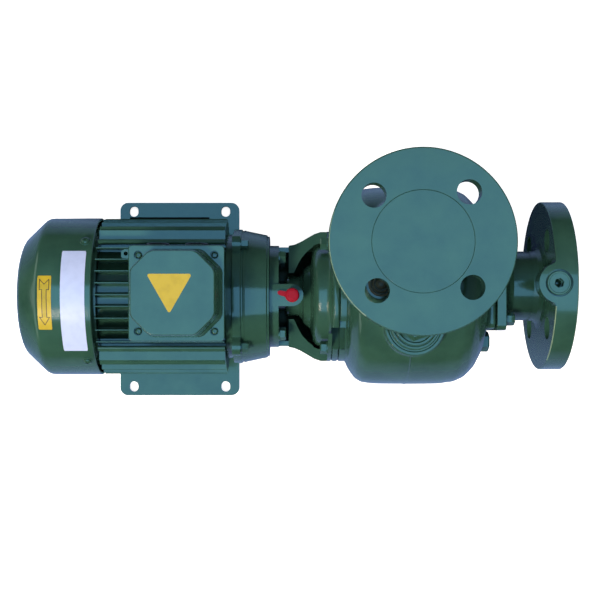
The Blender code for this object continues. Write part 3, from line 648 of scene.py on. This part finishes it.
here = (BOX_X, 0.0)
tub = put("connection_box", skin([
    (corners(BOX_SIDE - 0.004, BOX_SIDE - 0.004, 0.004, 8, here), 0.1680),
    (corners(BOX_SIDE - 0.002, BOX_SIDE - 0.002, 0.0045, 8, here), 0.1710),
    (corners(BOX_SIDE, BOX_SIDE, 0.0045, 8, here), 0.1985),
    (corners(BOX_SIDE - 0.002, BOX_SIDE - 0.002, 0.0035, 8, here), 0.1987),
    (corners(BOX_SIDE - 0.002, BOX_SIDE - 0.002, 0.0035, 8, here), 0.1997)]))
lug = [(-0.0316, 0.0305), (-0.0306, 0.0295), (-0.0190, 0.0285), (-0.0190, 0.0365), (-0.0286, 0.0370),
       (-0.0316, 0.0355)]
carve(tub, put("earth_lug", block(lug, 0.178, 0.1855)), "UNION")
hole = turned([(0, 0.170), (0.0017, 0.170), (0.0017, 0.19), (0, 0.19)], 20)
bmesh.ops.translate(hole, verts=hole.verts, vec=(-0.0278, 0.0333, 0))
carve(tub, put("earth_hole", hole))


def along_y(bm, x, z):
    """Turn what was made about Z to run along Y."""
    bmesh.ops.rotate(bm, verts=bm.verts, cent=(0, 0, 0), matrix=Matrix.Rotation(-pi / 2, 3, "X"))
    bmesh.ops.translate(bm, verts=bm.verts, vec=(x, 0, z))
    return bm


for x in (-0.001, 0.031):
    collar = turned([(0, 0.030), (0.0105, 0.030), (0.0105, 0.0396), (0.0099, 0.0401), (0, 0.0401)], 40)
    carve(tub, put("entry_collar", along_y(collar, x, 0.186)), "UNION")
soften(tub, 0.0004)
dress(tub, enamel_on_aluminium, "green_enamel", "terminal_box")
for i, x in enumerate((-0.001, 0.031)):
    plug = put("cable_entry_blank_%d" % (i + 1), along_y(turned([
        (0, 0.0403), (0.0097, 0.0403), (0.0098, 0.0408), (0.0095, 0.0413), (0.0088, 0.0417), (0.0062, 0.0417),
        (0.0055, 0.0412), (0.0052, 0.0406), (0, 0.0406)], 48), x, 0.186))
    dress(plug, black_nylon, "black_plastic", "cable_entry_plug_%d" % (i + 1))


def octagon(x0, x1, y, cut, r=0.003, steps=4):
    """Outline of an eight-sided plate with slightly rounded corners."""
    points = [(x1, y - cut), (x1 - cut, y), (x0 + cut, y), (x0, y - cut), (x0, cut - y), (x0 + cut, -y), (x1 - cut, -y),
              (x1, cut - y)]
    out = []
    for i, p in enumerate(points):
        here_v = Vector(p)
        before = (Vector(points[i - 1]) - here_v).normalized()
        after = (Vector(points[(i + 1) % 8]) - here_v).normalized()
        for k in range(steps + 1):
            t = k / steps
            a = here_v + before * r * (1 - t) ** 1.5 + after * r * t ** 1.5
            out.append((a.x, a.y))
    return out


lid = put("connection_box_lid", skin([
    (corners(LID_SIDE - 0.001, LID_SIDE - 0.001, 0.0028, 8, here), 0.2002),
    (corners(LID_SIDE, LID_SIDE, 0.0033, 8, here), 0.2008),
    (corners(LID_SIDE, LID_SIDE, 0.0033, 8, here), LID_RIM_Z - 0.0010),
    (corners(LID_SIDE - 0.0006, LID_SIDE - 0.0006, 0.0030, 8, here), LID_RIM_Z - 0.0003),
    (corners(LID_SIDE - 0.0018, LID_SIDE - 0.0018, 0.0026, 8, here), LID_RIM_Z)]))
# The crown leans back on the side that faces the pump
crown = skin([(octagon(-0.0214, 0.0537, 0.0360, 0.0166), LID_RIM_Z - 0.0015),
              (octagon(-0.0213, 0.0535, 0.0358, 0.0165), LID_RIM_Z + 0.0006),
              (octagon(-0.0212, 0.0528, 0.0355, 0.0163), LID_RIM_Z + 0.0022),
              (octagon(-0.0210, 0.0508, 0.0352, 0.0160), LID_RIM_Z + 0.0036),
              (octagon(-0.0207, 0.0502, 0.0350, 0.0158), LID_RIM_Z + 0.0048),
              (octagon(-0.0203, 0.0485, 0.0342, 0.0154), LID_TOP_Z - 0.0020),
              (octagon(-0.0201, 0.0481, 0.0340, 0.0153), LID_TOP_Z - 0.0010),
              (octagon(-0.0196, 0.0475, 0.0336, 0.0151), LID_TOP_Z - 0.0003),
              (octagon(-0.0188, 0.0467, 0.0330, 0.0149), LID_TOP_Z)])
carve(lid, put("lid_crown", crown), "UNION")
for sx in (-1, 1):
    for sy in (-1, 1):
        well = turned([(0, 0.2018), (0.0033, 0.2018), (0.0036, 0.2070), (0, 0.2070)], 32)
        bmesh.ops.translate(well, verts=well.verts, vec=(BOX_X + sx * 0.0309, sy * 0.0309, 0))
        carve(lid, put("screw_well", well))
dress(keep_flat(lid), enamel_on_aluminium, "green_enamel", "terminal_box_lid")
for i, (sx, sy) in enumerate(((-1, -1), (-1, 1), (1, -1), (1, 1))):
    screw = cross_screw("lid_screw_%d" % (i + 1), (BOX_X + sx * 0.0309, sy * 0.0309, 0.2021), (0, 0, 1), 0.0028, 0.0020)
    dress(screw, enamel_on_screws, "green_enamel")


# Lid sticker: a plain yellow vinyl triangle, its corners rounded, pointing
# across the box.
def flat_sheet(name, outline, low, thick):
    return put(name, block(outline, low, low + thick), 50)


tri = [(-0.0066, 0.0150), (0.0300, 0.0150), (0.0117, -0.0170)]
rounded_tri = []
for i, p in enumerate(tri):
    tip = Vector(p)
    before = (Vector(tri[i - 1]) - tip).normalized()
    after = (Vector(tri[(i + 1) % 3]) - tip).normalized()
    for k in range(9):
        t = k / 8
        q = tip + before * 0.0024 * (1 - t) ** 1.6 + after * 0.0024 * t ** 1.6
        rounded_tri.append((q.x, q.y))
dress(flat_sheet("lid_sticker", rounded_tri, LID_TOP_Z + 0.00005, 0.00012), yellow_vinyl, "green_enamel")


# Drive-end shield: die-cast ring and cone that close the motor toward the
# pump, held by four hexagon bolts through the lugs on its rim.
def eased(profile, r, steps=5):
    """Round the corners of a profile with arcs of about radius r."""
    out = [profile[0]]
    for before, at, after in zip(profile, profile[1:], profile[2:]):
        p = Vector(at)
        back = Vector(before) - p
        ahead = Vector(after) - p
        bend = back.angle(ahead)
        if bend > radians(172):
            out.append(at)
            continue
        reach = min(r / max(0.05, abs(sin(bend / 2) / cos(bend / 2))), back.length * 0.48, ahead.length * 0.48)
        start = p + back.normalized() * reach
        end = p + ahead.normalized() * reach
        for k in range(steps + 1):
            t = k / steps
            q = start * (1 - t) ** 2 + p * 2 * t * (1 - t) + end * t ** 2
            out.append((q.x, q.y))
    return out + [profile[-1]]


def merged(*parts):
    """Put several meshes together in one."""
    bm = bmesh.new()
    for part in parts:
        held = bpy.data.meshes.new("part")
        part.to_mesh(held)
        part.free()
        bm.from_mesh(held)
        bpy.data.meshes.remove(held)
    return bm


QUARTERS = [radians(a) for a in (45, 135, 225, 315)]
shield = put("drive_end_shield_casting", along_x(turned(eased([
    (0, 0.0523), (0.0555, 0.0523), (0.0555, 0.0583), (0.060, 0.0583), (0.060, 0.0656), (0.0588, 0.0660),
    (0.0588, 0.0674), (0.0593, 0.0680), (0.0587, 0.0695), (0.0549, 0.0878), (0.0537, 0.0884), (0.0537, 0.0901),
    (0, 0.0901)], 0.0006), 144)))
lug_r = 0.0075
for a in QUARTERS:
    at = (0.063 * cos(a), 0.063 * sin(a))
    tip = [(at[0] + lug_r * cos(a + b), at[1] + lug_r * sin(a + b)) for b in [pi / 2 - pi * i / 16 for i in range(17)]]
    tip += [(0.050 * cos(a - 0.20), 0.050 * sin(a - 0.20)), (0.050 * cos(a + 0.20), 0.050 * sin(a + 0.20))]
    carve(shield, put("lug", along_x(block(tip, 0.0584, 0.0655))), "UNION")
dress(shield, enamel_on_aluminium, "green_enamel", "drive_end_shield")


def hexagon(r, turn=0.0):
    return [(r * cos(turn + pi * i / 3), r * sin(turn + pi * i / 3)) for i in range(6)]


def bolt_head(across, height, washer_r=0.0, washer=0.0012):
    """Hexagon head with a chamfered crown, on a washer if it has one."""
    r = across / sqrt(3)
    top = [(x * 0.86, y * 0.86) for x, y in hexagon(r)]
    head = skin([(hexagon(r), washer * bool(washer_r)), (hexagon(r), washer * bool(washer_r) + height * 0.82),
                 (top, washer * bool(washer_r) + height)])
    if not washer_r:
        return head
    return merged(head, turned([(0, -0.0002), (washer_r, -0.0002), (washer_r, washer * 0.8), (washer_r - 0.0003, washer),
                                (0, washer)], 32))


def fasten(name, bm, at, out, turn=0.0):
    """Stand a fastener at a point, along a direction."""
    obj = put(name, bm, 30)
    facing = Vector(out).to_track_quat("Z", "Y").to_matrix().to_4x4()
    obj.data.transform(Matrix.Translation(at) @ facing @ Matrix.Rotation(turn, 4, "Z"))
    return dress(obj, enamel_on_screws, "green_enamel")


for i, a in enumerate(QUARTERS):
    at = (0.0654, 0.063 * sin(a), SHAFT_Z + 0.063 * cos(a))
    fasten("shield_bolt_%d" % (i + 1), bolt_head(0.008, 0.0062, 0.0052, 0.001), at, (1, 0, 0), 0.3 * i)


# Lantern: cast-iron ring and open cage between motor and pump. Its top is
# cut away over the shaft, and a tongue with a boss carries the red cap.
def cast(obj, grain, rounds, smooth=50):
    """Blend overlapping bodies into one casting with soft corners."""
    blend = obj.modifiers.new("blend", "REMESH")
    blend.mode = "VOXEL"
    blend.voxel_size = grain
    ease = obj.modifiers.new("ease", "SMOOTH")
    ease.factor = 0.5
    ease.iterations = rounds
    return settle(obj, smooth)


RING_R = 0.0455
CAGE_R = 0.0581
cage = put("lantern_casting", along_x(turned([
    (0.036, 0.0904), (RING_R, 0.0904), (RING_R, 0.106), (0.0465, 0.112), (0.0492, 0.118), (0.0527, 0.124),
    (0.0562, 0.130), (CAGE_R, 0.1356), (CAGE_R, 0.1443), (0.0475, 0.1443), (0.0475, 0.1335), (0.0430, 0.1220),
    (0.0410, 0.1120), (0.0410, 0.0982), (0.036, 0.0982)], 160, True)))
for side in (-1, 1):
    web = [(0.1070, side * 0.0432), (0.1070, side * 0.0205), (0.1115, side * 0.0205), (0.1155, side * 0.0290),
           (0.1190, side * 0.0350), (0.1238, side * 0.0403), (0.1290, side * 0.0445), (0.1290, side * 0.0500),
           (0.1150, side * 0.0450)]
    carve(cage, put("web", block(web, SHAFT_Z - 0.0145, SHAFT_Z + 0.0160)), "UNION")
carve(cage, put("window", slab(0.0982, 0.1070, -0.060, 0.060, SHAFT_Z - 0.008, SHAFT_Z + 0.08)))
# The top of each web falls away to the outside, 22 degrees
open_top = [(-0.065, -0.003), (-0.018, 0.016), (0.018, 0.016), (0.065, -0.003), (0.065, 0.08), (-0.065, 0.08)]
carve(cage, put("window", along_x(block([(-z, y) for y, z in open_top], 0.1060, 0.1410))))
carve(cage, put("window", slab(0.1346, 0.1500, -0.033, 0.033, SHAFT_Z, SHAFT_Z + 0.08)))
CAP_X = 0.110
ARM = 0.0095
tongue = [(0.0912, -ARM), (CAP_X, -ARM)]
tongue += [(CAP_X + ARM * cos(a), ARM * sin(a)) for a in [radians(-84 + 168 * i / 20) for i in range(21)]]
tongue += [(CAP_X, ARM), (0.0912, ARM)]
arm = put("tongue", block(tongue, SHAFT_Z + 0.0395, SHAFT_Z + 0.0500))
crown_r = 0.035
carve(arm, put("crown", along_x(turned([(0, 0.08), (crown_r, 0.08), (crown_r, 0.13), (0, 0.13)], 160),
                                z=SHAFT_Z + 0.0475 - crown_r)), "INTERSECT")
carve(cage, arm, "UNION")
soften(cage, 0.0006)
dress(cage, enamel_on_casting, "green_enamel", "lantern")
for i, (sy, sz) in enumerate(((-1, 1), (1, 1), (1, -1), (-1, -1))):
    at = (0.0983, sy * 0.0335, SHAFT_Z + sz * 0.0240)
    fasten("lantern_nut_%d" % (i + 1), bolt_head(0.010, 0.005, 0.006), at, (1, 0, 0), 0.4 * i)
for i, (sy, sz) in enumerate(((-1, 1), (1, 1), (1, -1), (-1, -1))):
    at = (0.1411 if sz > 0 else 0.1357, sy * 0.0455, SHAFT_Z + sz * 0.0270)
    fasten("cover_bolt_%d" % (i + 1), bolt_head(0.010, 0.0055, 0.006), at, (-1, 0, 0), 0.4 * i)


# Cap: soft red plastic cap with a pull tail, on the boss of the tongue.
red_polythene = moulded("moulded_red_polythene", "#8A0820", 0.55, 1.2)
red_polythene.node_tree.nodes["Principled BSDF"].inputs["Specular IOR Level"].default_value = 0.2
seat = SHAFT_Z + 0.0478
tail = [(CAP_X - 0.0125, 0.0012), (CAP_X - 0.0110, 0.0000), (CAP_X - 0.004, -0.0022), (CAP_X - 0.004, 0.0028),
        (CAP_X - 0.0105, 0.0040), (CAP_X - 0.0125, 0.0030)]
cap_bm = turned(eased([(0, seat), (0.0062, seat), (0.0062, seat + 0.0012), (0.0055, seat + 0.0016),
                       (0.0055, seat + 0.0085), (0.0035, seat + 0.0090), (0, seat + 0.0090)], 0.0006), 48)
bmesh.ops.translate(cap_bm, verts=cap_bm.verts, vec=(CAP_X, 0, 0))
cap = put("red_cap", cap_bm)
carve(cap, put("tail", block(tail, seat, seat + 0.0022)), "UNION")
soften(cap, 0.0003)
dress(cap, red_polythene, "red_plastic", "lantern_cap")


# Shaft: turned steel bar, its tool marks running round it.
def bare_steel(name, mark_mm):
    """Bright turned steel: grey metal whose fine tool marks stretch the light."""
    mat = bpy.data.materials.new(name)
    mat.use_nodes = True
    tree = mat.node_tree
    shader = tree.nodes["Principled BSDF"]
    shader.inputs["Metallic"].default_value = 1.0
    at = add(tree, "ShaderNodeTexCoord").outputs["Object"]
    along = add(tree, "ShaderNodeMapping", inputs={"Vector": at, "Scale": (1000 / mark_mm, 20.0, 20.0)})
    marks = add(tree, "ShaderNodeTexNoise", inputs={"Vector": along.outputs[0], "Scale": 1.0, "Detail": 2.0})
    tone = add(tree, "ShaderNodeMix", {"data_type": "RGBA"},
               {0: marks.outputs["Fac"], 6: linear("#6F7276"), 7: linear("#A2A5A8")})
    tree.links.new(tone.outputs[2], shader.inputs["Base Color"])
    shine = add(tree, "ShaderNodeMapRange", inputs={0: marks.outputs["Fac"], 1: 0.3, 2: 0.7, 3: 0.25, 4: 0.42})
    tree.links.new(shine.outputs[0], shader.inputs["Roughness"])
    relief = add(tree, "ShaderNodeBump", inputs={"Height": marks.outputs["Fac"], "Distance": 0.00002})
    tree.links.new(relief.outputs["Normal"], shader.inputs["Normal"])
    return mat


# Tool marks drawn 0.4 mm apart, coarser than real ones, so that they show
steel = bare_steel("turned_carbon_steel", 0.4)
shaft = put("turned_shaft", along_x(turned(eased([
    (0, 0.0904), (0.014, 0.0904), (0.014, 0.0955), (0.012, 0.0965), (0.012, 0.1042), (0, 0.1042)], 0.0003), 72)))
dress(shaft, steel, "turned_steel", "pump_shaft")


# Casing cover: cast-iron bowl with the shaft seal in its hub, bolted between
# the lantern and the casing.
bowl = put("cover_bowl", along_x(turned(eased([
    (0, 0.1045), (0.0168, 0.1045), (0.0178, 0.1055), (0.0178, 0.1160), (0.0205, 0.1188), (0.0245, 0.1205),
    (0.0268, 0.1232), (0.0290, 0.1262), (0.0345, 0.1275), (0.0395, 0.1286), (0.0420, 0.1300), (0.0434, 0.1313),
    (0.0442, 0.1327), (0.0446, 0.1343), (0.0448, 0.1360), (0.0449, 0.1380), (0.0450, 0.1400), (0.0456, 0.1420), (0.0476, 0.1438), (0.0500, 0.1446), (0.0582, 0.1446), (0.0582, 0.1508),
    (0, 0.1508)], 0.0025), 160)), 40)


def mill(obj, x0, x1, y0, y1, z0, z1):
    """Mill a pocket on each side of the neck, its floor from z0 to z1."""
    for side in (-1, 1):
        ends = [(side * y0, z0), (side * y1, z1), (side * y1, 0.08), (side * y0, 0.08)]
        carve(obj, put("mill", along_x(block([(-z, y) for y, z in ends], x0, x1))))


mill(bowl, 0.1440, 0.1552, 0.0280, 0.0475, 0.0290, 0.0345)
dress(keep_flat(bowl), enamel_on_casting, "green_enamel", "casing_cover")


# Pump casing: sand-cast iron barrel, joint flange, discharge neck and bosses
# in one casting, its corners rounded by the mould and then painted.
BARREL_Y = 0.0095
FILL = (0.2115, -0.0258)
barrel = along_x(turned(eased([
    (0, 0.1576), (0.0672, 0.1576), (0.0720, 0.1588), (0.0760, 0.1610), (0.0830, 0.1660), (0.0865, 0.1720),
    (0.0878, 0.1840), (0.0880, 0.2000), (0.0881, 0.2210), (0.0878, 0.2400), (0.0860, 0.2540), (0.0820, 0.2625),
    (0.0745, 0.2700), (0.0630, 0.2762), (0.0500, 0.2790), (0, 0.2790)], 0.004), 160), BARREL_Y)
neck = turned([(0, 0.120), (0.046, 0.120), (0.0455, 0.160), (0.0420, 0.1720), (0.0360, 0.1820), (0.0325, 0.1900),
               (0.0310, 0.1960), (0.0310, 0.2020), (0.0318, 0.2060), (0.0340, 0.2085), (0.0370, 0.2097), (0, 0.2097)], 96)
bmesh.ops.translate(neck, verts=neck.verts, vec=(0.2137, 0.0404, 0))
fill_boss = turned([(0, 0.130), (0.0254, 0.130), (0.0254, 0.1840), (0, 0.1840)], 96)
bmesh.ops.translate(fill_boss, verts=fill_boss.verts, vec=(*FILL, 0))
vent_boss = turned([(0, 0.140), (0.0135, 0.140), (0.0135, 0.1890), (0, 0.1890)], 72)
bmesh.ops.translate(vent_boss, verts=vent_boss.verts, vec=(0.183, 0.008, 0))
drain_boss = along_x(turned([(0, 0.235), (0.0120, 0.235), (0.0120, 0.2821), (0, 0.2821)], 64), -0.041, 0.060)
pad = along_x(block(corners(0.078, 0.078, 0.007), 0.2650, 0.2870), BARREL_Y)
collar = along_x(turned([(0, 0.1560), (0.0580, 0.1560), (0.0600, 0.1600), (0, 0.1600)], 128))
casing = put("pump_casing_casting", merged(barrel, neck, fill_boss, vent_boss, drain_boss, pad, collar))
cast(casing, 0.0015, 10)
dress(casing, enamel_on_casting, "green_enamel", "pump_casing")
# The seam that the two halves of the mould left round the barrel
seam = turned([(0.0874, 0.2094), (0.0882, 0.2097), (0.0886, 0.2102), (0.0882, 0.2107), (0.0874, 0.2110)], 192, True)
dress(put("casing_seam", along_x(seam, BARREL_Y)), enamel_on_casting, "green_enamel")
joint = put("casing_joint_flange", along_x(turned(eased([
    (0, 0.1511), (0.0582, 0.1511), (0.0582, 0.1585), (0.0570, 0.1600), (0, 0.1600)], 0.0008), 160)))
mill(joint, 0.1400, 0.1552, 0.0280, 0.0475, 0.0290, 0.0345)
mill(joint, 0.1500, 0.1610, 0.0225, 0.0285, 0.0480, 0.0480)
soften(joint, 0.0005)
dress(joint, enamel_on_casting, "green_enamel")


# Machined ends of the bosses: rings turned on the filling, vent and drain
# bosses, where the plugs seal.
def ring_face(name, profile, at, turn_x=False):
    bm = turned(eased(profile, 0.0004), 96)
    if turn_x:
        bm = along_x(bm, at[1], at[2])
    else:
        bmesh.ops.translate(bm, verts=bm.verts, vec=at)
    return dress(put(name, bm), enamel_on_screws, "green_enamel")


ring_face("filling_boss_face", [(0, 0.180), (0.0257, 0.180), (0.0257, 0.1842), (0.0247, 0.1855), (0.0226, 0.1855),
                                (0.0220, 0.1845), (0.0208, 0.1845), (0.0204, 0.1880), (0, 0.1880)], (*FILL, 0))
ring_face("vent_boss_face", [(0, 0.186), (0.0135, 0.186), (0.0135, 0.1895), (0.0125, 0.1905), (0, 0.1905)],
          (0.183, 0.008, 0))
ring_face("drain_boss_face", [(0, 0.279), (0.0120, 0.279), (0.0120, 0.2815), (0.0110, 0.2825), (0, 0.2825)],
          (0, -0.041, 0.060), True)


# Plugs: hexagon pipe plugs with a turned collar, for filling, venting and
# draining, painted over with the casing.
def pipe_plug(seat, collar_r, collar, across, height, turn=pi / 6):
    r = across / sqrt(3)
    top = seat + collar + height
    crown = [(x * 0.88, y * 0.88) for x, y in hexagon(r, turn)]
    head = skin([(hexagon(r, turn), seat + collar * 0.5), (hexagon(r, turn), top - 0.0012), (crown, top)])
    rim = turned(eased([(0, seat), (collar_r, seat), (collar_r, seat + collar), (0, seat + collar)], 0.0005), 64)
    return merged(head, rim)


dark_steel = enamel("thin_enamel_on_oxidised_steel", 1.0, 0.00005, 0.00001, 0.50, ("#3E4234", "#66654C"))
dark_steel.node_tree.nodes["Principled BSDF"].inputs["Coat Weight"].default_value = 0.1
stepped = turned(eased([(0, 0.1883), (0.0202, 0.1883), (0.0202, 0.1893), (0.0196, 0.1899), (0.0182, 0.1899),
                        (0.0178, 0.1891), (0.0174, 0.1891), (0.0172, 0.1912), (0.0166, 0.1918), (0.0148, 0.1918),
                        (0.0143, 0.1905), (0, 0.1905)], 0.0004), 96)
across = 0.0235 / sqrt(3)
key_head = skin([(hexagon(across, 0.35), 0.189), (hexagon(across, 0.35), 0.1955), (hexagon(across * 0.74, 0.35), 0.1980)])
filling = put("filling_plug_turned", merged(stepped, key_head))
filling.data.transform(Matrix.Translation((*FILL, 0)))
dress(filling, enamel_on_screws, "green_enamel", "filling_plug")
vent = put("vent_plug_turned", turned(eased([
    (0, 0.1908), (0.0105, 0.1908), (0.0105, 0.1920), (0.0092, 0.1933), (0.0088, 0.1933), (0.0084, 0.1924), (0.0078, 0.1924),
    (0.0062, 0.1944), (0.0058, 0.1944), (0.0054, 0.1936), (0.0048, 0.1936), (0.0032, 0.1958), (0.0020, 0.1966),
    (0, 0.1968)], 0.0002), 64))
vent.data.transform(Matrix.Translation((0.183, 0.008, 0)))
dress(vent, dark_steel, "green_enamel", "vent_plug")
drain = put("drain_plug_turned", along_x(pipe_plug(0.2828, 0.0092, 0.003, 0.0165, 0.0075), -0.041, 0.060))
dress(drain, enamel_on_screws, "green_enamel", "drain_plug")


# Flanges: round cast-iron flanges with turned faces and four bolt holes; each
# port is closed with a flush disc, for the paint and the transport.
FLANGE_R = 0.075
HOLE_R = 0.010
DISCHARGE = (0.2137, 0.0404, 0.0)


def flange_blank(back, face):
    rim = eased([(0, back), (FLANGE_R, back), (FLANGE_R, face), (0.050, face)], 0.0012)
    return turned(rim + [(0.0412, face), (0.0410, face - 0.0002), (0.0410, face - 0.003), (0, face - 0.003)], 192)


def flange_tools(turn, low, high):
    tools = []
    for a in QUARTERS:
        centre = (0.0535 * cos(a + turn), 0.0535 * sin(a + turn))
        ring = [(centre[0] + HOLE_R * cos(2 * pi * i / 48), centre[1] + HOLE_R * sin(2 * pi * i / 48)) for i in range(48)]
        tools.append(block(ring, low, high))
    return merged(*tools)


discharge = put("discharge_flange_turned", flange_blank(0.2100, 0.2274))
carve(discharge, put("holes", flange_tools(radians(2), 0.200, 0.240)))
discharge.data.transform(Matrix.Translation(DISCHARGE))
enamel_on_turning = enamel("green_enamel_on_turned_iron", 12.0, 0.00001, 0.000005, 0.17)
dress(keep_flat(discharge), enamel_on_turning, "green_enamel", "discharge_flange")
# Lighter, rougher enamel for a painted highlight on one side of a flange's rounded rim
rim_highlight_enamel = enamel("lighter_enamel_as_painted_rim_highlight", 3.0, 0.00005, 0.00002, 0.40, ("#617E69", "#82967D"))


def paint_rim_highlight(obj, centre, axis, reach, toward):
    """Paint one side of the rounded rim of a round piece lighter: a painted highlight on the side toward the light."""
    obj.data.materials.append(rim_highlight_enamel)
    for face in obj.data.polygons:
        arm = face.center - Vector(centre)
        arm[axis] = 0.0
        on_rim = arm.length > reach and 0.25 < abs(face.normal[axis]) < 0.95
        face.material_index = int(on_rim and arm.normalized().dot(Vector(toward)) > 0.82)


# Painted highlight on the discharge rim, on its side toward -X and -Y
paint_rim_highlight(discharge, DISCHARGE, 2, 0.0739, (-0.956, -0.292, 0.0))


def disc(face):
    return turned(eased([(0, face - 0.0027), (0.04093, face - 0.0027), (0.04093, face), (0, face)], 0.00040), 128)


discharge_disc = put("discharge_disc", disc(0.2274))
discharge_disc.data.transform(Matrix.Translation(DISCHARGE))
dress(keep_flat(discharge_disc), enamel_on_turning, "green_enamel", "discharge_port_disc")

suction = put("suction_flange_turned", along_x(merged(flange_blank(0.3310, 0.3500)), BARREL_Y))
GAUGE_X = 0.3335
BOSS_R = 0.0168
boss_bend = 0.004
lean = 0.0065
rise = sqrt((BOSS_R + boss_bend) ** 2 - lean ** 2)
foot_angle = asin(lean / (BOSS_R + boss_bend))
edge = []
for i in range(9):
    a = -pi / 2 + foot_angle + (pi / 2 - foot_angle) * (1 - i / 8)
    edge.append((GAUGE_X - lean + boss_bend * cos(a), rise + boss_bend * sin(a)))
wrap = [pi / 2 + foot_angle + (pi - 2 * foot_angle) * i / 40 for i in range(41)]
side_on = 0.3345
plan = [(side_on, rise)] + edge + [(GAUGE_X + BOSS_R * cos(a), BOSS_R * sin(a)) for a in wrap]
plan += [(x, -y) for x, y in reversed(edge)] + [(side_on, -rise)]
plan = [(x, y + BARREL_Y) for x, y in plan]
drawn_in = [(side_on + (x - side_on) * 0.78, BARREL_Y + (y - BARREL_Y) * 0.78) for x, y in plan]
boss = put("gauge_boss", skin([(drawn_in, 0.1500), (plan, 0.1570), (plan, 0.1800)]))
round_top = along_x(turned([(0, 0.310), (0.07495, 0.310), (0.07495, 0.340), (0, 0.340)], 192), BARREL_Y)
carve(boss, put("round_top", round_top), "INTERSECT")
carve(suction, boss, "UNION")
bore = turned([(0, 0.1600), (0.0085, 0.1600), (0.0085, 0.1712), (0.0116, 0.1712), (0.0116, 0.1790), (0, 0.1790)], 72)
bmesh.ops.translate(bore, verts=bore.verts, vec=(GAUGE_X, BARREL_Y, 0))
carve(suction, put("bore", bore))
carve(suction, put("holes", along_x(flange_tools(0.0, 0.320, 0.360), BARREL_Y)))
dress(keep_flat(suction), enamel_on_turning, "green_enamel", "suction_flange")
# Painted highlight on the suction rim, on its side toward -Y and up
paint_rim_highlight(suction, (0, BARREL_Y, SHAFT_Z), 0, 0.0739, (0.0, -0.45, 0.89))
suction_disc = put("suction_disc", along_x(disc(0.3500), BARREL_Y))
dress(keep_flat(suction_disc), enamel_on_turning, "green_enamel", "suction_port_disc")


# Suction branch: cast-iron neck on a square plate that is bolted over a
# gasket to the pad of the casing.
plate = put("suction_plate", along_x(block(corners(0.080, 0.080, 0.006), 0.2877, 0.2958), BARREL_Y))
soften(plate, 0.0007)
dress(plate, enamel_on_casting, "green_enamel", "suction_branch")
branch = put("suction_neck", along_x(turned(eased([
    (0, 0.2940), (0.0375, 0.2940), (0.0365, 0.2968), (0.0325, 0.2995), (0.0310, 0.3040), (0.0310, 0.3215),
    (0.0320, 0.3260), (0.0345, 0.3292), (0.0395, 0.3311), (0, 0.3311)], 0.0010), 144), BARREL_Y), 60)
# The neck's enamel has darker tones than the rest: painted shade from the discharge flange above it
neck_enamel_darkened_as_shade = enamel("green_enamel_darkened_as_painted_shade_on_neck", 4.5, 0.00012, 0.00003, 0.15, ("#1B352D", "#234238"))
dress(branch, neck_enamel_darkened_as_shade, "green_enamel")
for i, (sy, sz) in enumerate(((-1, 1), (1, 1), (1, -1), (-1, -1))):
    at = (0.2957, BARREL_Y + sy * 0.030, SHAFT_Z + sz * 0.030)
    fasten("plate_bolt_%d" % (i + 1), bolt_head(0.010, 0.0070, 0.0068, 0.0014), at, (1, 0, 0), 0.5 * i)


# Gauge plug: socket plug in the boss on the suction flange.
gauge = put("gauge_plug_turned", turned(eased([
    (0, 0.1606), (0.0082, 0.1606), (0.0082, 0.1720), (0.0102, 0.1720), (0.0102, 0.1744), (0.0096, 0.1749),
    (0.0086, 0.1749), (0.0083, 0.1745), (0, 0.1745)], 0.0003), 72))
carve(gauge, put("socket", block(hexagon(0.0043, 0.3), 0.1660, 0.1800)))
carve(gauge, put("drill_point", turned([(0, 0.1612), (0.0035, 0.1655), (0.0035, 0.1665), (0, 0.1665)], 32)))
gauge.data.transform(Matrix.Translation((GAUGE_X, BARREL_Y, 0)))
dress(gauge, enamel_on_screws, "green_enamel", "gauge_plug")


# Casing foot: cast foot under the barrel, in the shape the solid has.
coat(("casing_foot",), enamel_on_casting)
